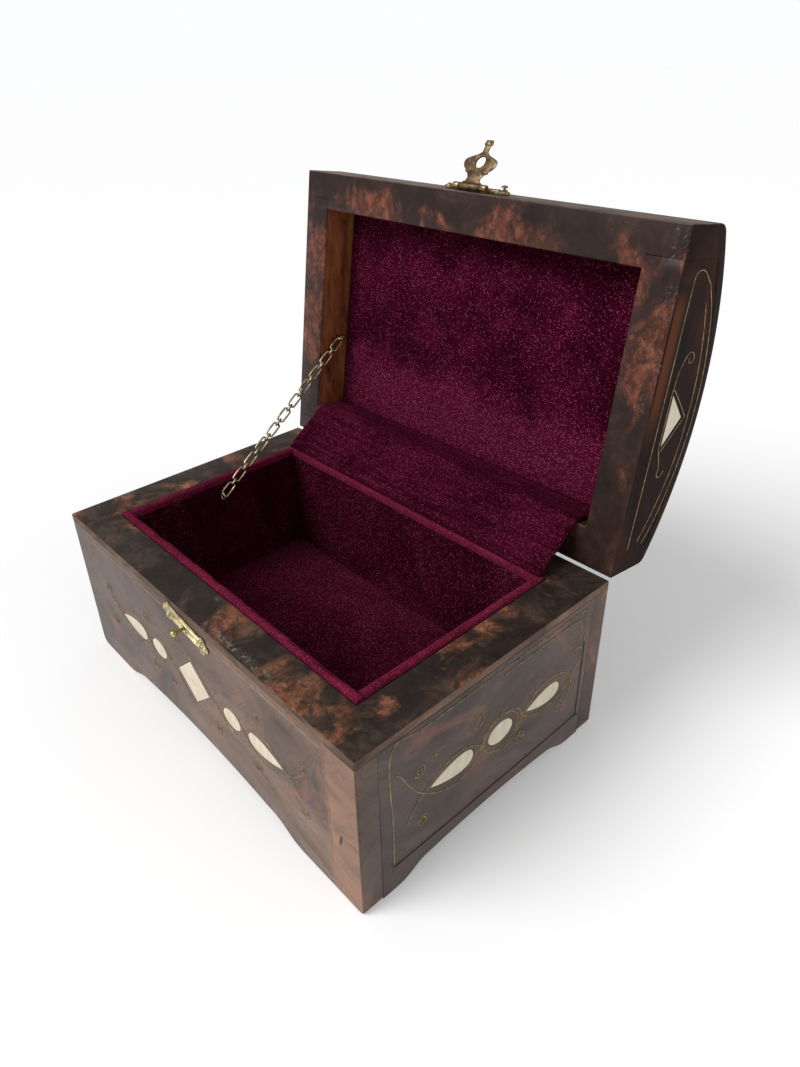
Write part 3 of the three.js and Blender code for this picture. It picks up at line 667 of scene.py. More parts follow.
def floor_painted_light(tree, where):
    """Painted light: the floor pad's velvet is lighter towards its back left corner, and lighter in a stroke
    near the front.
    """
    x, y = axes(tree, where)[:2]
    back = maths(tree, "SUBTRACT", y, product(tree, x, 0.5))
    lighter = product(tree, fade(tree, back, -60 * mm, 55 * mm), 0.3)
    stroke = spot(tree, where, (26 * mm, -44 * mm, 26 * mm), (20 * mm, 2.2 * mm, 5 * mm), (0, 0, -0.2))
    return maths(tree, "ADD", lighter, product(tree, stroke, 0.25))


# The floor's velvet is painted a little lighter than the walls', as painted light on its upward face.
floor_lit_cherry = (0.052, 0.004, 0.014)
floor_pile = velvet_finish("floor_velvet_pile", wine, floor_lit_cherry, 24, 0.5, floor_painted_light)
pad_low, pad_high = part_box("floor_pad")
floor_pad = swollen_pad("floor_velvet", pad_high - pad_low, (50, 28, 1), 0.25 * mm)
floor_pad.data.transform(Matrix.Translation((pad_low + pad_high) / 2))
done(floor_pad, "box", "velvet", floor_pile, "floor_pad")

# ---- lid frame ----
# The lid's front and rear rails lap over its two arched end boards, and a curved panel closes the top,
# all of the same burl as the rim. The inner walls are left bare, and the velvet lies deep inside.
lid_joint = next(joint for joint in frame["joints"] if joint["name"] == "lid_hinge")
hinge = Vector(lid_joint["pos_m"])
opened = math.radians(98.3)
hinge_reach = 0.45 * mm
rim_clearance = 0.15 * mm
lid_length = 150 * mm
rail = 18.6 * mm


def on_lid(x, along, deep):
    """A place on the open lid: along from its hinge edge, and deep from its rim towards its crown."""
    along += hinge_reach
    deep += rim_clearance
    back, up = -math.cos(opened), math.sin(opened)
    return Vector((x, hinge.y + back * along + up * deep, hinge.z + up * along - back * deep))


along_lid = (on_lid(0, 1, 0) - on_lid(0, 0, 0)).normalized()
into_lid = (on_lid(0, 0, 1) - on_lid(0, 0, 0)).normalized()


def lid_measures(tree, where):
    """A place's distance to the right, along the lid from its hinge edge, and deep from its rim."""
    x, y, z = axes(tree, where)
    measures = [x]
    for way in (along_lid, into_lid):
        total = maths(tree, "ADD", product(tree, y, way.y), product(tree, z, way.z))
        measures.append(maths(tree, "SUBTRACT", total, way.dot(on_lid(0, 0, 0))))
    return measures


def lid_scuff(tree, where):
    """Grey wear flecks along the outer edge of the lid's right rail, from its middle to its top."""
    x, along, deep = lid_measures(tree, where)
    edge = between(tree, x, 106 * mm, 112 * mm, 116 * mm, 117 * mm)
    span = between(tree, along, 62 * mm, 92 * mm, 147 * mm, 150 * mm)
    shallow = fade(tree, deep, 0.9 * mm, 0.3 * mm)
    flecks = fade(tree, clouds(tree, where, 800, 5, 0.8), 0.52, 0.7)
    worn = fade(tree, clouds(tree, where, 70, 3, 0.6), 0.42, 0.6)
    streaks = product(tree, edge, span, shallow, flecks, worn, 0.8)
    chip = spot(tree, where, on_lid(110.5 * mm, 78 * mm, 0), (2 * mm, 3 * mm, 4 * mm))
    return maths(tree, "MAXIMUM", streaks, product(tree, chip, flecks, shallow))


def lid_glow(tree, where):
    """More figure along the inner edge of the front rail and the middle of the end rails."""
    x, along = lid_measures(tree, where)[:2]
    outer = fade(tree, maths(tree, "ABSOLUTE", x), 88 * mm, 98 * mm)
    side = product(tree, outer, between(tree, along, 36 * mm, 54 * mm, 118 * mm, 134 * mm))
    top = between(tree, along, 126 * mm, 131 * mm, 138 * mm, 147 * mm)
    return maths(tree, "MAXIMUM", side, product(tree, top, 0.8))


def lid_faces(tree, where, ground):
    """The lid's ends are dark red-brown, amber beside the rim, and its front edge is walnut."""
    x, along, deep = lid_measures(tree, where)
    end_face = on_face(tree, maths(tree, "ABSOLUTE", x), right_face)
    red_brown = ramp(tree, clouds(tree, stretched(tree, where, (1, 1, 0.5)), 50, 6, 0.6, 0.6),
                     (0.34, (0.008, 0.004, 0.0035)), (0.55, (0.024, 0.009, 0.006)),
                     (0.75, (0.055, 0.018, 0.009)))
    beside_rim = between(tree, deep, 0.6 * mm, 1.6 * mm, 4 * mm, 11 * mm)
    amber = product(tree, beside_rim, between(tree, along, 62 * mm, 84 * mm, 116 * mm, 128 * mm), 0.7)
    red_brown = mixed(tree, amber, red_brown, (0.14, 0.04, 0.01))
    ground = mixed(tree, end_face, ground, red_brown)
    return walnut_edge(tree, where, ground, on_face(tree, along, lid_length)), end_face


def lid_sides(tree, where, ground):
    """As lid_faces, with the inner walls of the lid's ends left bare."""
    ground, end_face = lid_faces(tree, where, ground)
    x, along, deep = lid_measures(tree, where)
    outward = maths(tree, "ABSOLUTE", x)
    inside = between(tree, along, rail - 0.6 * mm, rail - 0.2 * mm, lid_length - rail + 0.2 * mm,
                     lid_length - rail + 0.6 * mm)
    inner = product(tree, fade(tree, outward, 98.6 * mm, 97.9 * mm), fade(tree, outward, 96 * mm, 97 * mm),
                    fade(tree, deep, 0.4 * mm, 1.2 * mm), inside)
    grain = clouds(tree, stretched(tree, where, (1, 1, 0.25)), 160, 6, 0.65, 0.6)
    bare = ramp(tree, grain, (0.32, (0.1, 0.028, 0.012)), (0.5, (0.26, 0.08, 0.03)),
                (0.7, (0.4, 0.155, 0.06)))
    return mixed(tree, inner, ground, bare), end_face


red_embers = ((0.035, 0.012, 0.009), (0.085, 0.025, 0.016), (0.175, 0.054, 0.03), (0.3, 0.118, 0.062))
red_tones = ((0.011, 0.006, 0.005), (0.029, 0.014, 0.011), (0.062, 0.027, 0.02), (0.11, 0.047, 0.033))
lid_burl = burl_wood("lid_burl", 0.05, (0.3, 0.2, 0.1), (1, 1, 0.8), lid_sides, lid_scuff, lid_glow,
                     red_tones, red_embers)
lid_top_burl = burl_wood("lid_top_burl", 0.0, (0.7, 0.1, 0.4), (1, 1, 1), lid_faces, tones=red_tones)
lid_splits = [(on_lid(0, along, 0), along_lid) for along in (rail, lid_length - rail)]
lid_glue = ("lid_front_rail", "lid_rear_rail", "lid_top_panel")
lid_boards = (("lid_front_rail", "lid_front_wood", lid_burl, lid_glue[2:]),
              ("lid_rear_rail", "lid_rear_wood", lid_burl, lid_glue[2:]),
              ("lid_left_end", "lid_left_wood", lid_burl, lid_glue),
              ("lid_right_end", "lid_right_wood", lid_burl, lid_glue),
              ("lid_top_panel", "lid_top_wood", lid_top_burl, ()))
for node, name, finish, glued_to in lid_boards:
    splits = lid_splits if node.endswith("end") else ()
    done(fitted_board(node, name, glued_to, splits), "lid", "burl", finish, node)


def lid_painted_sheen(tree, where):
    """Painted sheen: the lid's pad is lightest in a band along its hinge side, and a little darker
    elsewhere.
    """
    along = lid_measures(tree, where)[1]
    sheen_band = product(tree, fade(tree, along, 66 * mm, 28 * mm), 0.75)
    return maths(tree, "SUBTRACT", sheen_band, 0.08)


# The lid's velvet is painted a little lighter than the walls', as painted light.
lid_pile = velvet_finish("lid_velvet_pile", wine, (0.06, 0.0036, 0.016), 44, 0.65, lid_painted_sheen)
lining_deep = 19 * mm
lining_thick = 4 * mm
lining_low, lining_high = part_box("lid_lining")
lining_size = Vector((lining_high.x - lining_low.x, lid_length - 2 * rail - 0.6 * mm, lining_thick))
lid_pad = swollen_pad("lid_velvet", lining_size, (52, 30, 1), 0.3 * mm)
pad_middle = on_lid(0, lid_length / 2, lining_deep + lining_thick / 2)
pad_turn = Matrix((Vector((1, 0, 0)), along_lid, into_lid)).transposed().to_4x4()
lid_pad.data.transform(Matrix.Translation(pad_middle) @ pad_turn)
done(lid_pad, "lid", "velvet", lid_pile, "lid_lining")


# ---- hinge cloth ----
# A strip of the same velvet glued along the rear pad's rolled edge and, past the hinges, to the lid's
# inner edge and the back of its rail. It is pulled flat while the lid stands open.
rear_pad_low, rear_pad_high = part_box("rear_lining")
cloth_low, cloth_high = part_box("hinge_cloth")
cloth_thick = 1.1 * mm
cloth_start = Vector((0, rear_pad_low.y + 0.6 * mm, rear_pad_high.z + 0.3 * mm + cloth_thick / 2))
cloth_edge = on_lid(0, rail + 0.9 * mm, -1.2 * mm)
taut_rows = 20
cloth_way = [cloth_start.lerp(cloth_edge, row / taut_rows) for row in range(taut_rows)] + [cloth_edge]
for off_rail, deep in ((1.5, -0.3), (1.7, 1.2), (1.5, 4), (1.2, 8), (1.1, 13), (1.1, 18)):
    cloth_way.append(on_lid(0, rail + off_rail * mm, deep * mm))
cloth_columns = 120
cloth_width = cloth_high.x - cloth_low.x
cloth_down = (cloth_edge - cloth_start).normalized()
cloth_out = Vector((0, -cloth_down.z, cloth_down.y))
deselect()
bpy.ops.mesh.primitive_grid_add(x_subdivisions=cloth_columns, y_subdivisions=len(cloth_way) - 1, size=1)
cloth = bpy.context.object
cloth.name = "hinge_velvet"
for corner in cloth.data.vertices:
    row = round((corner.co.y + 0.5) * (len(cloth_way) - 1))
    x = cloth_low.x + (corner.co.x + 0.5) * cloth_width
    place = cloth_way[row].copy()
    slack = math.sin(math.pi * min(row, taut_rows) / taut_rows)
    ripple = noise.noise(Vector((x * 14, row * 0.35, 0))) * 0.9
    ripple += noise.noise(Vector((x * 50, row * 0.9, 3))) * 0.35
    place += cloth_out * slack * (ripple - 0.5) * 0.6 * mm
    corner.co = Vector((x, place.y, place.z))
edit_whole()
bpy.ops.mesh.normals_make_consistent(inside=False)
bpy.ops.object.mode_set(mode="OBJECT")
thickness = cloth.modifiers.new("thickness", "SOLIDIFY")
thickness.thickness = cloth_thick
thickness.offset = 0
bpy.ops.object.modifier_apply(modifier="thickness")
bpy.ops.object.shade_smooth()


def cloth_brushed(tree, where):
    """Fine crushed lines along the strip, closest together beside the rolled edge."""
    lines = clouds(tree, stretched(tree, where, (0.08, 1, 1)), 420, 3, 0.6)
    return product(tree, maths(tree, "SUBTRACT", lines, 0.5), 0.9)


cloth_pile = velvet_finish("hinge_velvet_pile", wine, (0.055, 0.004, 0.015), 30, 0.4, cloth_brushed)
cloth.data.materials.append(cloth_pile)
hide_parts("hinge_cloth")
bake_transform(cloth)

# ---- wire inlay ----
# Soft brass wire hammered edge-on into the wood: two strands that loop round the bone, curled ends, and
# frame lines. The lower frame line of each side has lost its wire and shows as a dark groove.
# The empty groove's darkness is painted shade: a near-black rod is laid along it.
def metal(name, bright, dull, dark, roughness):
    """Worn metal, brighter where it is rubbed and dark where it has tarnished."""
    finish, tree, shader = new_finish(name)
    where = put(tree, "TexCoord").outputs["Object"]
    tarnish = clouds(tree, where, 330, 6, 0.68)
    colour = ramp(tree, tarnish, (0.36, bright), (0.54, dull), (0.72, dark))
    plug(tree, shader, {"Base Color": colour, "Metallic": 1, "Roughness": spread(tree, tarnish, *roughness)})
    bumped(tree, shader, clouds(tree, where, 700, 4, 0.7), 0.06 * mm, 0.5)
    return finish


wire_brass = metal("tarnished_wire", (0.42, 0.31, 0.16), (0.24, 0.17, 0.09), (0.1, 0.07, 0.045), (0.35, 0.6))
# Painted shade: near-black rods laid where the empty groove's shade falls.
groove_shade, groove_tree, groove_shader = new_finish("painted_groove_shade")
groove_where = put(groove_tree, "TexCoord").outputs["Object"]
groove_shade_colour = ramp(groove_tree, clouds(groove_tree, groove_where, 400, 4, 0.6),
                     (0.35, (0.012, 0.008, 0.007)), (0.7, (0.035, 0.024, 0.019)))
plug(groove_tree, groove_shader, {"Base Color": groove_shade_colour, "Roughness": 0.8})


def smooth_way(points, closed):
    """A smooth way through points, as a hand-bent wire takes."""
    steps = 6
    count = len(points)

    def point(i):
        return Vector(points[i % count] if closed else points[min(max(i, 0), count - 1)])

    way = []
    for i in range(count if closed else count - 1):
        a, b, c, d = (point(i + k) for k in (-1, 0, 1, 2))
        bend = a * 2 - b * 5 + c * 4 - d
        twist = b * 3 - a - c * 3 + d
        for step in range(steps):
            t = step / steps
            way.append((b * 2 + (c - a) * t + bend * t ** 2 + twist * t ** 3) / 2)
    return way if closed else way + [Vector(points[-1])]


def curl(u, v, radius, start):
    """A curled end about (u, v), that winds inwards from an angle in degrees."""
    steps = 26
    turns = 1.9
    squash = 0.9
    wound_in = 0.84  # the share of its radius that a curl has lost at its inner end
    way = []
    for step in range(steps + 1):
        share = step / steps
        angle = math.radians(start) + 2 * math.pi * turns * share
        size = 1.15 * radius * (1 - wound_in * share)
        way.append((u + size * squash * math.cos(angle), v + size * math.sin(angle)))
    return way


def ring(u, v, width, height, slant=0):
    """A small closed oval."""
    steps = 12
    lean = Matrix.Rotation(math.radians(slant), 2)
    angles = [2 * math.pi * step / steps for step in range(steps)]
    flat = [lean @ Vector((width / 2 * math.cos(a), height / 2 * math.sin(a))) for a in angles]
    return [(u + place.x, v + place.y) for place in flat]


def wires(name, ways, onto, body, slot, finish, radius):
    """Lays wires along flat ways, in millimetres on a face, and joins them into one piece."""
    strands = []
    for way, closed in ways:
        drawn = bpy.data.curves.new(name, "CURVE")
        drawn.dimensions = "3D"
        drawn.bevel_depth = radius * mm
        drawn.bevel_resolution = 1
        drawn.use_fill_caps = True
        places = smooth_way([onto(u, v) for u, v in way], closed)
        spline = drawn.splines.new("POLY")
        spline.points.add(len(places) - 1)
        for point, place in zip(spline.points, places):
            point.co = (*place, 1)
        spline.use_cyclic_u = closed
        strand = bpy.data.objects.new(name, drawn)
        bpy.context.scene.collection.objects.link(strand)
        strands.append(strand)
    deselect()
    for strand in strands:
        strand.select_set(True)
    bpy.context.view_layer.objects.active = strands[0]
    bpy.ops.object.convert(target="MESH")
    if len(strands) > 1:
        bpy.ops.object.join()
    wire = bpy.context.object
    edit_whole()
    bpy.ops.mesh.remove_doubles(threshold=0.001 * mm)
    bpy.ops.mesh.normals_make_consistent(inside=False)
    bpy.ops.object.mode_set(mode="OBJECT")
    bpy.ops.object.shade_smooth()
    wire.name = name
    done(wire, body, slot, finish)


def upside_down(way, level):
    """The same way mirrored about a level."""
    return [(u, 2 * level - v) for u, v in way]


inlay_level = 44.5
sink = 0.02 * mm
front_strand = [(-84, 39), (-80, 42), (-76, 44.5), (-68, 49.5), (-59, 52.5), (-51, 50.5), (-43.5, 44.5),
                (-39, 39.5), (-34.2, 37.2), (-28, 39), (-21.5, 44.5), (-16, 49), (-11, 54), (-2, 60.5),
                (5, 55), (11, 49.5), (17.5, 44.5), (24, 39.5), (30.2, 37.2), (35.5, 39.2), (40, 44.5),
                (47, 50.5), (54, 52.8), (63, 50), (72, 44.5), (78, 40), (81, 36)]
front_ways = [(front_strand, False), (upside_down(front_strand, inlay_level), False)]
for u, v, radius, start in ((-41.6, 30, 3, 90), (-43, 59, 3, 270), (-24, 30, 2.4, 60), (-11, 64, 2.6, 200),
                            (16.8, 29, 3, 90), (51, 61, 3, 270), (49.4, 30, 3, 90), (82, 56, 3.4, 250),
                            (82, 31, 3.4, 110), (-85, 55, 3, 290), (-85, 33, 3, 60)):
    front_ways.append((curl(u, v, radius, start), False))


def on_front(u, v, out=sink):
    """A place on the front board's face."""
    return Vector((u * mm, front_face - out, v * mm))


wires("front_wire", front_ways, on_front, "box", "brass", wire_brass, 0.2)
front_frame = [(-97, 70), (-97, 77), (-94, 79.4), (-60, 79.4), (-20, 79.4), (20, 79.4), (60, 79.4),
               (92, 79.4), (96, 78), (97.4, 74), (97.4, 50), (97.4, 30), (97.4, 15)]
pale_line = metal("pale_line", (0.42, 0.31, 0.2), (0.33, 0.23, 0.15), (0.2, 0.14, 0.1), (0.5, 0.7))
wires("front_frame_line", [(front_frame, False)], lambda u, v: on_front(u, v, sink - 0.1 * mm), "box",
      "brass", pale_line, 0.3)

side_first = [(-50.7, 32.8), (-49, 36.7), (-45.5, 41.1), (-40.5, 45.8), (-34.5, 48.9), (-27.5, 51.8),
              (-20.5, 52.2), (-14.7, 50.2), (-8.4, 45.8), (-5.3, 39.9), (0, 35.9), (6.4, 33.2),
              (11.7, 34.4), (15.2, 39.2), (18, 44.5), (21, 47.8), (27, 52.2), (34.3, 54), (42.8, 52.5),
              (48.8, 49), (52.5, 44), (53, 38), (50.5, 33.5), (47.4, 32.6), (46.2, 35), (48, 36.5)]
side_second = [(-56, 66), (-53.5, 63), (-51, 58), (-49, 54.3), (-45.5, 48.6), (-40.5, 43.5), (-34.5, 39.1),
               (-27.5, 36.1), (-20.5, 35.2), (-14.5, 37), (-8.7, 41.6), (-8.4, 45.8), (-3.7, 52.4),
               (2.1, 54.9), (9.6, 53.2), (15.2, 50.6), (18, 44.5), (19.8, 43), (24.6, 39.2), (31.9, 37.6),
               (39.2, 37.4), (46.4, 40), (52.5, 45.4), (57.3, 49.8), (59.2, 53.4), (58.5, 58), (55.5, 60),
               (52.8, 58.6), (53.6, 56.4), (55.4, 57)]
side_oval = [(4 + 11.2 * math.cos(a), inlay_level + 9.2 * math.sin(a))
             for a in (math.radians(d) for d in range(0, 360, 24))]
side_ways = [(side_first, False), (side_second, False), (side_oval, True), (curl(-43.5, 59, 3, 200), False),
             (ring(-36, 60, 3.2, 2.2, 40), True), (curl(-42.5, 29.2, 3, 30), False),
             (ring(-10, 60.5, 7, 4, 50), True), (curl(17.5, 32, 3.2, 210), False),
             (curl(47, 30, 3.4, 100), False)]
side_frame = [(-58, 15.5), (-58, 40), (-58, 79.5), (-40, 80), (0, 80), (40, 80), (58, 79.5), (60, 77),
              (60, 60)]
inner_frame = [(4, 76.5), (25, 76.6), (50, 76.6), (55, 75), (56.6, 71), (56.6, 62)]
lost_frame = [(-58, 14.6), (-20, 14.2), (0, 14.2), (20, 14.2), (59, 14.6), (60.6, 16), (60.6, 40),
              (60.6, 60)]
for side, face in (("right", right_face), ("left", left_face)):
    out = math.copysign(sink, face)

    def on_side(u, v):
        return Vector((face + out, middle_y + u * mm, v * mm))

    wires(side + "_wire", side_ways + [(side_frame, False), (inner_frame, False)], on_side, "box", "brass",
          wire_brass, 0.27)
    # The groove rod is painted shade.
    wires(side + "_groove", [(lost_frame, False)], on_side, "box", "figured_wood", groove_shade, 0.3)

lid_outline = [(47, 24), (44.5, 21.5), (46, 18.6), (50, 18.6), (56, 16.2), (59, 14.9), (71, 14.9),
               (83, 14.9), (84.6, 16.4), (78, 24), (72.2, 30), (71, 31), (69.8, 30), (64, 24), (57.6, 17),
               (56, 15.5)]
lid_tail = [(84.6, 15.6), (90, 15.8), (95, 17.6), (99.5, 21), (99.5, 25), (96.4, 26.2), (95.4, 23.2),
            (97.4, 22.4)]
lid_low_line = [(12, 8.5), (30, 9), (60, 9.6), (100, 10.2), (128, 10.6), (132, 12), (133, 15), (132, 18.5),
                (127, 25)]
lid_arch = [(12, 20), (20, 25.5), (35, 32.4), (50, 36.6), (64, 38.8), (75, 39.3), (88, 38.6), (100, 36.4),
            (115, 31.8), (127, 25)]
lid_inner_arch = [(14, 15.5), (24, 21.5), (38, 28), (54, 32.6), (71, 34.2), (88, 33.6), (104, 30.4),
                  (120, 25)]
lid_ways = [(lid_outline, False), (lid_tail, False), (lid_low_line, False), (lid_arch, False),
            (lid_inner_arch, False)]
for side, face in (("right", right_face), ("left", left_face)):
    out = math.copysign(sink, face)
    wires(f"lid_{side}_wire", lid_ways, lambda s, t: on_lid(face + out, s * mm, t * mm), "lid", "brass",
          wire_brass, 0.25)


# ---- hinges ----
# Two small brass butt hinges let into the rear rims under the cloth, each leaf held by three countersunk
# screws.
brass = metal("worn_brass", (0.72, 0.58, 0.27), (0.46, 0.35, 0.15), (0.15, 0.1, 0.05), (0.28, 0.5))


def brass_part(node, name, body, finish, slot, width=0.15):
    """A copy of a brass part with its sharp edges rubbed."""
    part = copy_of(node, name)
    round_edges(part, width * mm, 2, sharp=35)
    done(part, body, slot, finish, node)
    return part


def head(place, turn, radius, height, slot_width=0):
    """A domed nail head, or a screw head with a slot, standing on a face whose outward axis is turn's Z."""
    deselect()
    bpy.ops.mesh.primitive_uv_sphere_add(segments=14, ring_count=8, radius=radius)
    nail = bpy.context.object
    edit_whole()
    bpy.ops.mesh.bisect(plane_co=(0, 0, -0.2 * radius), plane_no=(0, 0, 1), clear_inner=True, use_fill=True)
    bpy.ops.mesh.select_all(action="SELECT")
    bpy.ops.transform.resize(value=(1, 1, height / radius), center_override=(0, 0, 0))
    bpy.ops.object.mode_set(mode="OBJECT")
    if slot_width:
        for corner in nail.data.vertices:
            if abs(corner.co.x) < slot_width and corner.co.z > 0:
                corner.co.z *= 0.3
    smoothed(nail)
    nail.data.transform(Matrix.Translation(place) @ turn)
    return nail


def joined(piece, additions):
    """One piece made of several."""
    deselect()
    for part in additions:
        for finish in piece.data.materials:
            part.data.materials.append(finish)
        part.select_set(True)
    piece.select_set(True)
    bpy.context.view_layer.objects.active = piece
    bpy.ops.object.join()
    return piece


upright = Matrix.Identity(4)
facing_rim = pad_turn @ Matrix.Rotation(math.pi, 4, "X")
facing_front = Matrix.Rotation(math.radians(90), 4, "X")
screw_radius = 1.3 * mm
screw_slot = 0.3 * mm  # its half width, and the head's height
screw_spacing = 8 * mm
for side in ("left", "right"):
    leaf_low, leaf_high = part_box(f"hinge_{side}_box_leaf")
    middle_x = (leaf_low.x + leaf_high.x) / 2
    box_screws = Vector((middle_x, leaf_low.y + 3.2 * mm, hinge.z - 0.35 * mm))
    lid_screws = on_lid(middle_x, 5.8 * mm, 0.2 * mm)
    box_leaf = brass_part(f"hinge_{side}_box_leaf", f"{side}_box_leaf", "box", brass, "brass")
    lid_leaf = brass_part(f"hinge_{side}_lid_leaf", f"{side}_lid_leaf", "lid", brass, "brass")
    brass_part(f"hinge_{side}_pin", f"{side}_hinge_pin", "box", brass, "brass")
    for leaf, turn, place in ((box_leaf, upright, box_screws), (lid_leaf, facing_rim, lid_screws)):
        joined(leaf, [head(place + unit[0] * x, turn, screw_radius, screw_slot, screw_slot)
                      for x in (-screw_spacing, 0, screw_spacing)])


# ---- strike ----
# A bright cast brass bar with lobed ends, ridged along its length and nailed on, with a ball-headed staple.
def ridge(start, end, radius):
    """A half-sunk rounded bar from one place to another."""
    way = end - start
    deselect()
    bpy.ops.mesh.primitive_cylinder_add(vertices=10, radius=radius, depth=way.length)
    bar = bpy.context.object
    edit_whole()
    bpy.ops.mesh.bevel(offset=0.3 * radius, segments=2, affect="EDGES")
    bpy.ops.object.mode_set(mode="OBJECT")
    smoothed(bar)
    turn = way.to_track_quat("Z", "Y").to_matrix().to_4x4()
    bar.data.transform(Matrix.Translation((start + end) / 2) @ turn)
    return bar


strike_low, strike_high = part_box("strike_plate")
strike_middle = (strike_low + strike_high) / 2
strike_turn = Matrix.Rotation(math.radians(8), 3, "Y")
strike_face = strike_high.y - 0.45 * mm  # the plate between its ridges


def on_strike(along, up, out=0.0):
    """A place on the strike plate's face, measured along the bar and across it."""
    flat = strike_turn @ Vector((along * mm, 0, up * mm))
    return Vector((strike_middle.x + flat.x, strike_face - out * mm, strike_middle.z + flat.z))


strike = copy_of("strike_plate", "strike_bar")
for corner in strike.data.vertices:
    corner.co.y = max(corner.co.y, strike_face)
round_edges(strike, 0.12 * mm, 2, sharp=35)
strike_brass = metal("rubbed_brass", (0.68, 0.6, 0.34), (0.42, 0.36, 0.2), (0.16, 0.12, 0.065), (0.34, 0.58))
done(strike, "box", "brass", strike_brass, "strike_plate")
strike_ridges = ((-12, 12, 1.7, -0.35, 1.0), (-12.5, -2.6, -0.5, 0, 0.4), (2.6, 12.5, -0.5, 0, 0.4),
                 (-12, 12, -2.4, -0.15, 0.75))
strike_parts = [ridge(on_strike(left, up, out), on_strike(right, up, out), radius * mm)
                for left, right, up, out, radius in strike_ridges]
for side in (-1, 1):
    for along, up, radius in ((13.9, 2.6, 1.25), (13.9, -2.6, 1.25), (16.4, 0, 1.2), (12.6, 0, 0.8)):
        strike_parts.append(head(on_strike(side * along, up), facing_front, radius * mm, 1.0 * mm))
joined(strike, strike_parts)
brass_part("strike_staple", "strike_ball", "box", brass, "brass", 0.1)


# ---- hasp ----
# A darkened cast plate nailed over the lid's front edge, with a hinge pin, and a flap pierced with a
# round hole, ribbed like a shell, that ends in a small squared knob.
old_brass = metal("darkened_brass", (0.3, 0.2, 0.11), (0.13, 0.085, 0.05), (0.05, 0.032, 0.02), (0.4, 0.62))
hasp_joint = next(joint for joint in frame["joints"] if joint["name"] == "hasp_hinge")
hasp_pin_place = Vector(hasp_joint["pos_m"])
flap_turn = Matrix.Rotation(math.radians(-36.3), 4, "X")
flap_place = Matrix.Translation(hasp_pin_place) @ flap_turn


def on_flap(across, along, out=0.0):
    """A place on the flap, along it from the pin."""
    return flap_place @ Vector((across * mm, out * mm, along * mm))


flap = copy_of("hasp_flap", "hasp_leaf")
flap_face = 0.28  # from the flap's middle to its face between the ribs
hole_up = 11.8
hole_radius = 3.1
shell_up = 4.4  # where the shell's ribs meet
to_flap = flap_place.inverted()
for corner in flap.data.vertices:
    flat = to_flap @ corner.co
    if flat.z > 1.7 * mm:
        flat.y = math.copysign(flap_face * mm, flat.y)
        corner.co = flap_place @ flat
round_edges(flap, 0.12 * mm, 2, sharp=35)
done(flap, "flap", "antique_brass", old_brass, "hasp_flap")
flap_ribs = ((22, 4.2, 7.2), (33, 4, 9.6), (43, 3.8, 10.8), (53, 3.8, 10.4), (63, 3.8, 10))
flap_parts = []
for side in (-1, 1):
    for out in (-flap_face, flap_face):
        for angle, start, reach in flap_ribs:
            turn = math.radians(angle)
            near = on_flap(side * start * math.cos(turn), shell_up + start * math.sin(turn), out)
            far = on_flap(side * reach * math.cos(turn), shell_up + reach * math.sin(turn), out)
            flap_parts.append(ridge(near, far, 0.32 * mm))
for out in (-flap_face, flap_face):
    deselect()
    bpy.ops.mesh.primitive_torus_add(major_radius=hole_radius * mm, minor_radius=0.33 * mm,
                                     major_segments=28, minor_segments=8)
    lip = bpy.context.object
    bpy.ops.object.shade_smooth()
    lip.data.transform(Matrix.Translation(on_flap(0, hole_up, out)) @ flap_turn @ facing_front)
    flap_parts.append(lip)
    flap_parts.append(ridge(on_flap(-5.4, 1.9, out), on_flap(5.4, 1.9, out), 0.35 * mm))
    outwards = facing_front if out < 0 else facing_front.inverted()
    flap_parts.append(head(on_flap(0, 20.9, out), flap_turn @ outwards, 1.5 * mm, 0.6 * mm))
joined(flap, flap_parts)

plate_finish = metal("plate_brass", (0.5, 0.39, 0.2), (0.27, 0.2, 0.11), (0.09, 0.06, 0.035), (0.3, 0.52))
plate = brass_part("hasp_plate", "hasp_bar", "lid", plate_finish, "brass")
plate_stand = 1.6  # how far the plate's face stands off the lid's edge
plate_level = 8.4  # from the lid's rim to the plate's middle


def on_plate(across, deep, out=0.0):
    """A place on the hasp plate's outer face, deep from the lid's rim."""
    return on_lid(hasp_pin_place.x + across * mm, lid_length + (plate_stand + out) * mm, deep * mm)


plate_turn = Matrix((Vector((1, 0, 0)), -into_lid, along_lid)).transposed().to_4x4()
plate_parts = [ridge(on_plate(-13.5, plate_level + up), on_plate(13.5, plate_level + up), radius * mm)
               for up, radius in ((-2.1, 0.5), (-0.7, 0.6), (0.8, 0.5), (2.2, 0.6))]
for side in (-1, 1):
    for across, up, radius in ((14.9, 2.2, 1.3), (14.9, -2.2, 1.3), (17.3, 0, 1.2)):
        nail_place = on_plate(side * across, plate_level + up)
        plate_parts.append(head(nail_place, plate_turn, radius * mm, 1.0 * mm))
proud = on_plate(17.3, plate_level - 1)
plate_parts.append(ridge(proud, proud + along_lid * 2 * mm, 0.6 * mm))
plate_parts.append(head(proud + along_lid * 1.9 * mm, plate_turn, 1.6 * mm, 0.9 * mm))
joined(plate, plate_parts)
brass_part("hasp_pin", "hasp_hinge_pin", "lid", old_brass, "antique_brass", 0.1)


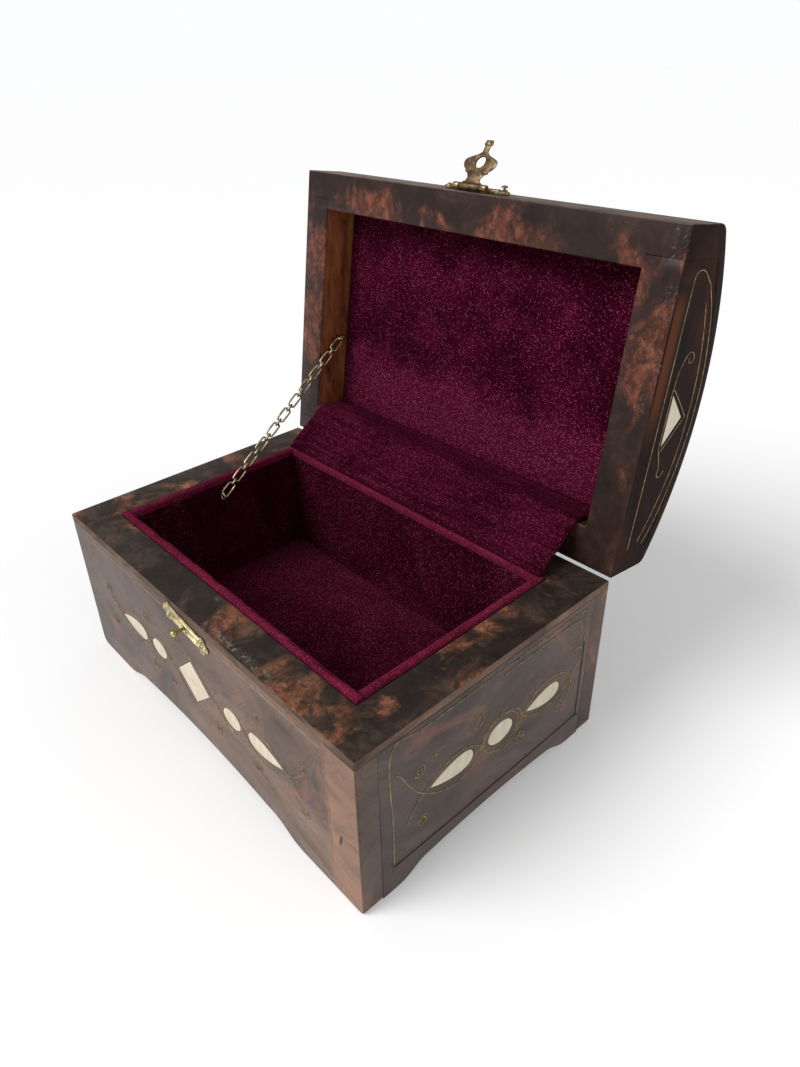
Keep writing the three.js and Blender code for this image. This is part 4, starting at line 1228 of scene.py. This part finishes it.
# ---- stay chain ----
# Long and short links of brass wire by turns, between two screw eyes, one in the box's left wall and one
# in the lid's left end. It stops the lid just past upright.
brass_part("chain_box_eye", "box_screw_eye", "box", brass, "brass", 0.05)
brass_part("chain_lid_eye", "lid_screw_eye", "lid", brass, "brass", 0.05)
chain_finish = metal("chain_brass", (0.64, 0.54, 0.34), (0.36, 0.28, 0.17), (0.1, 0.07, 0.045), (0.24, 0.46))
eye_ring = 2.2 * mm
eye_inset = eye_ring + 0.6 * mm
eye_low, eye_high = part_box("chain_box_eye")
chain_start = Vector((eye_high.x - eye_inset, (eye_low.y + eye_high.y) / 2, (eye_low.z + eye_high.z) / 2))
chain_end = on_lid(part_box("chain_lid_eye")[1].x - eye_inset, 59.5 * mm, 13 * mm)
links = 21
link_wire = 0.58 * mm
link_radius = 2.5 * mm - link_wire
long_share = 1.4
long_bow = 0.7  # how far a link's round ends are flattened
short_bow = 0.85
chain_way = chain_end - chain_start
pitch = (chain_way.length - 2 * eye_ring + 4 * link_wire) / (links + long_share - 1)
chain_axis = chain_way.normalized()
# The long links lie turned towards this place in front of the box, and the short ones across them.
faced = Vector((0.2612, -0.2117, 0.2977)) - (chain_start + chain_end) / 2
faced = (faced - chain_axis * faced.dot(chain_axis)).normalized()
chain_turn = Matrix((chain_axis, faced.cross(chain_axis) * -1, faced)).transposed().to_4x4()
chain_links = []
reached = eye_ring - 2 * link_wire
for number in range(links):
    is_long = number % 2 == 0
    reach = pitch * (long_share if is_long else 2 - long_share)
    bow = long_bow if is_long else short_bow
    straight = (reach + 4 * link_wire) / 2 - link_wire - bow * link_radius
    deselect()
    bpy.ops.mesh.primitive_torus_add(major_radius=link_radius, minor_radius=link_wire, major_segments=20,
                                     minor_segments=8)
    link = bpy.context.object
    for corner in link.data.vertices:
        along = corner.co.x / math.hypot(corner.co.x, corner.co.y) * link_radius
        corner.co.x += along * (bow - 1)
        if abs(along) > 0.01 * mm:
            corner.co.x += math.copysign(straight, along)
    bpy.ops.object.shade_smooth()
    turn = math.radians((6 if is_long else 84) + 5 * math.sin(number * 1.7))
    centre = chain_start + chain_axis * (reached + reach / 2)
    link.data.transform(Matrix.Translation(centre) @ chain_turn @ Matrix.Rotation(turn, 4, "X"))
    chain_links.append(link)
    reached += reach
stay_chain = joined(chain_links[0], chain_links[1:])
stay_chain.name = "stay_chain"
stay_chain.data.materials.append(chain_finish)
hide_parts("lid_chain")
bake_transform(stay_chain)
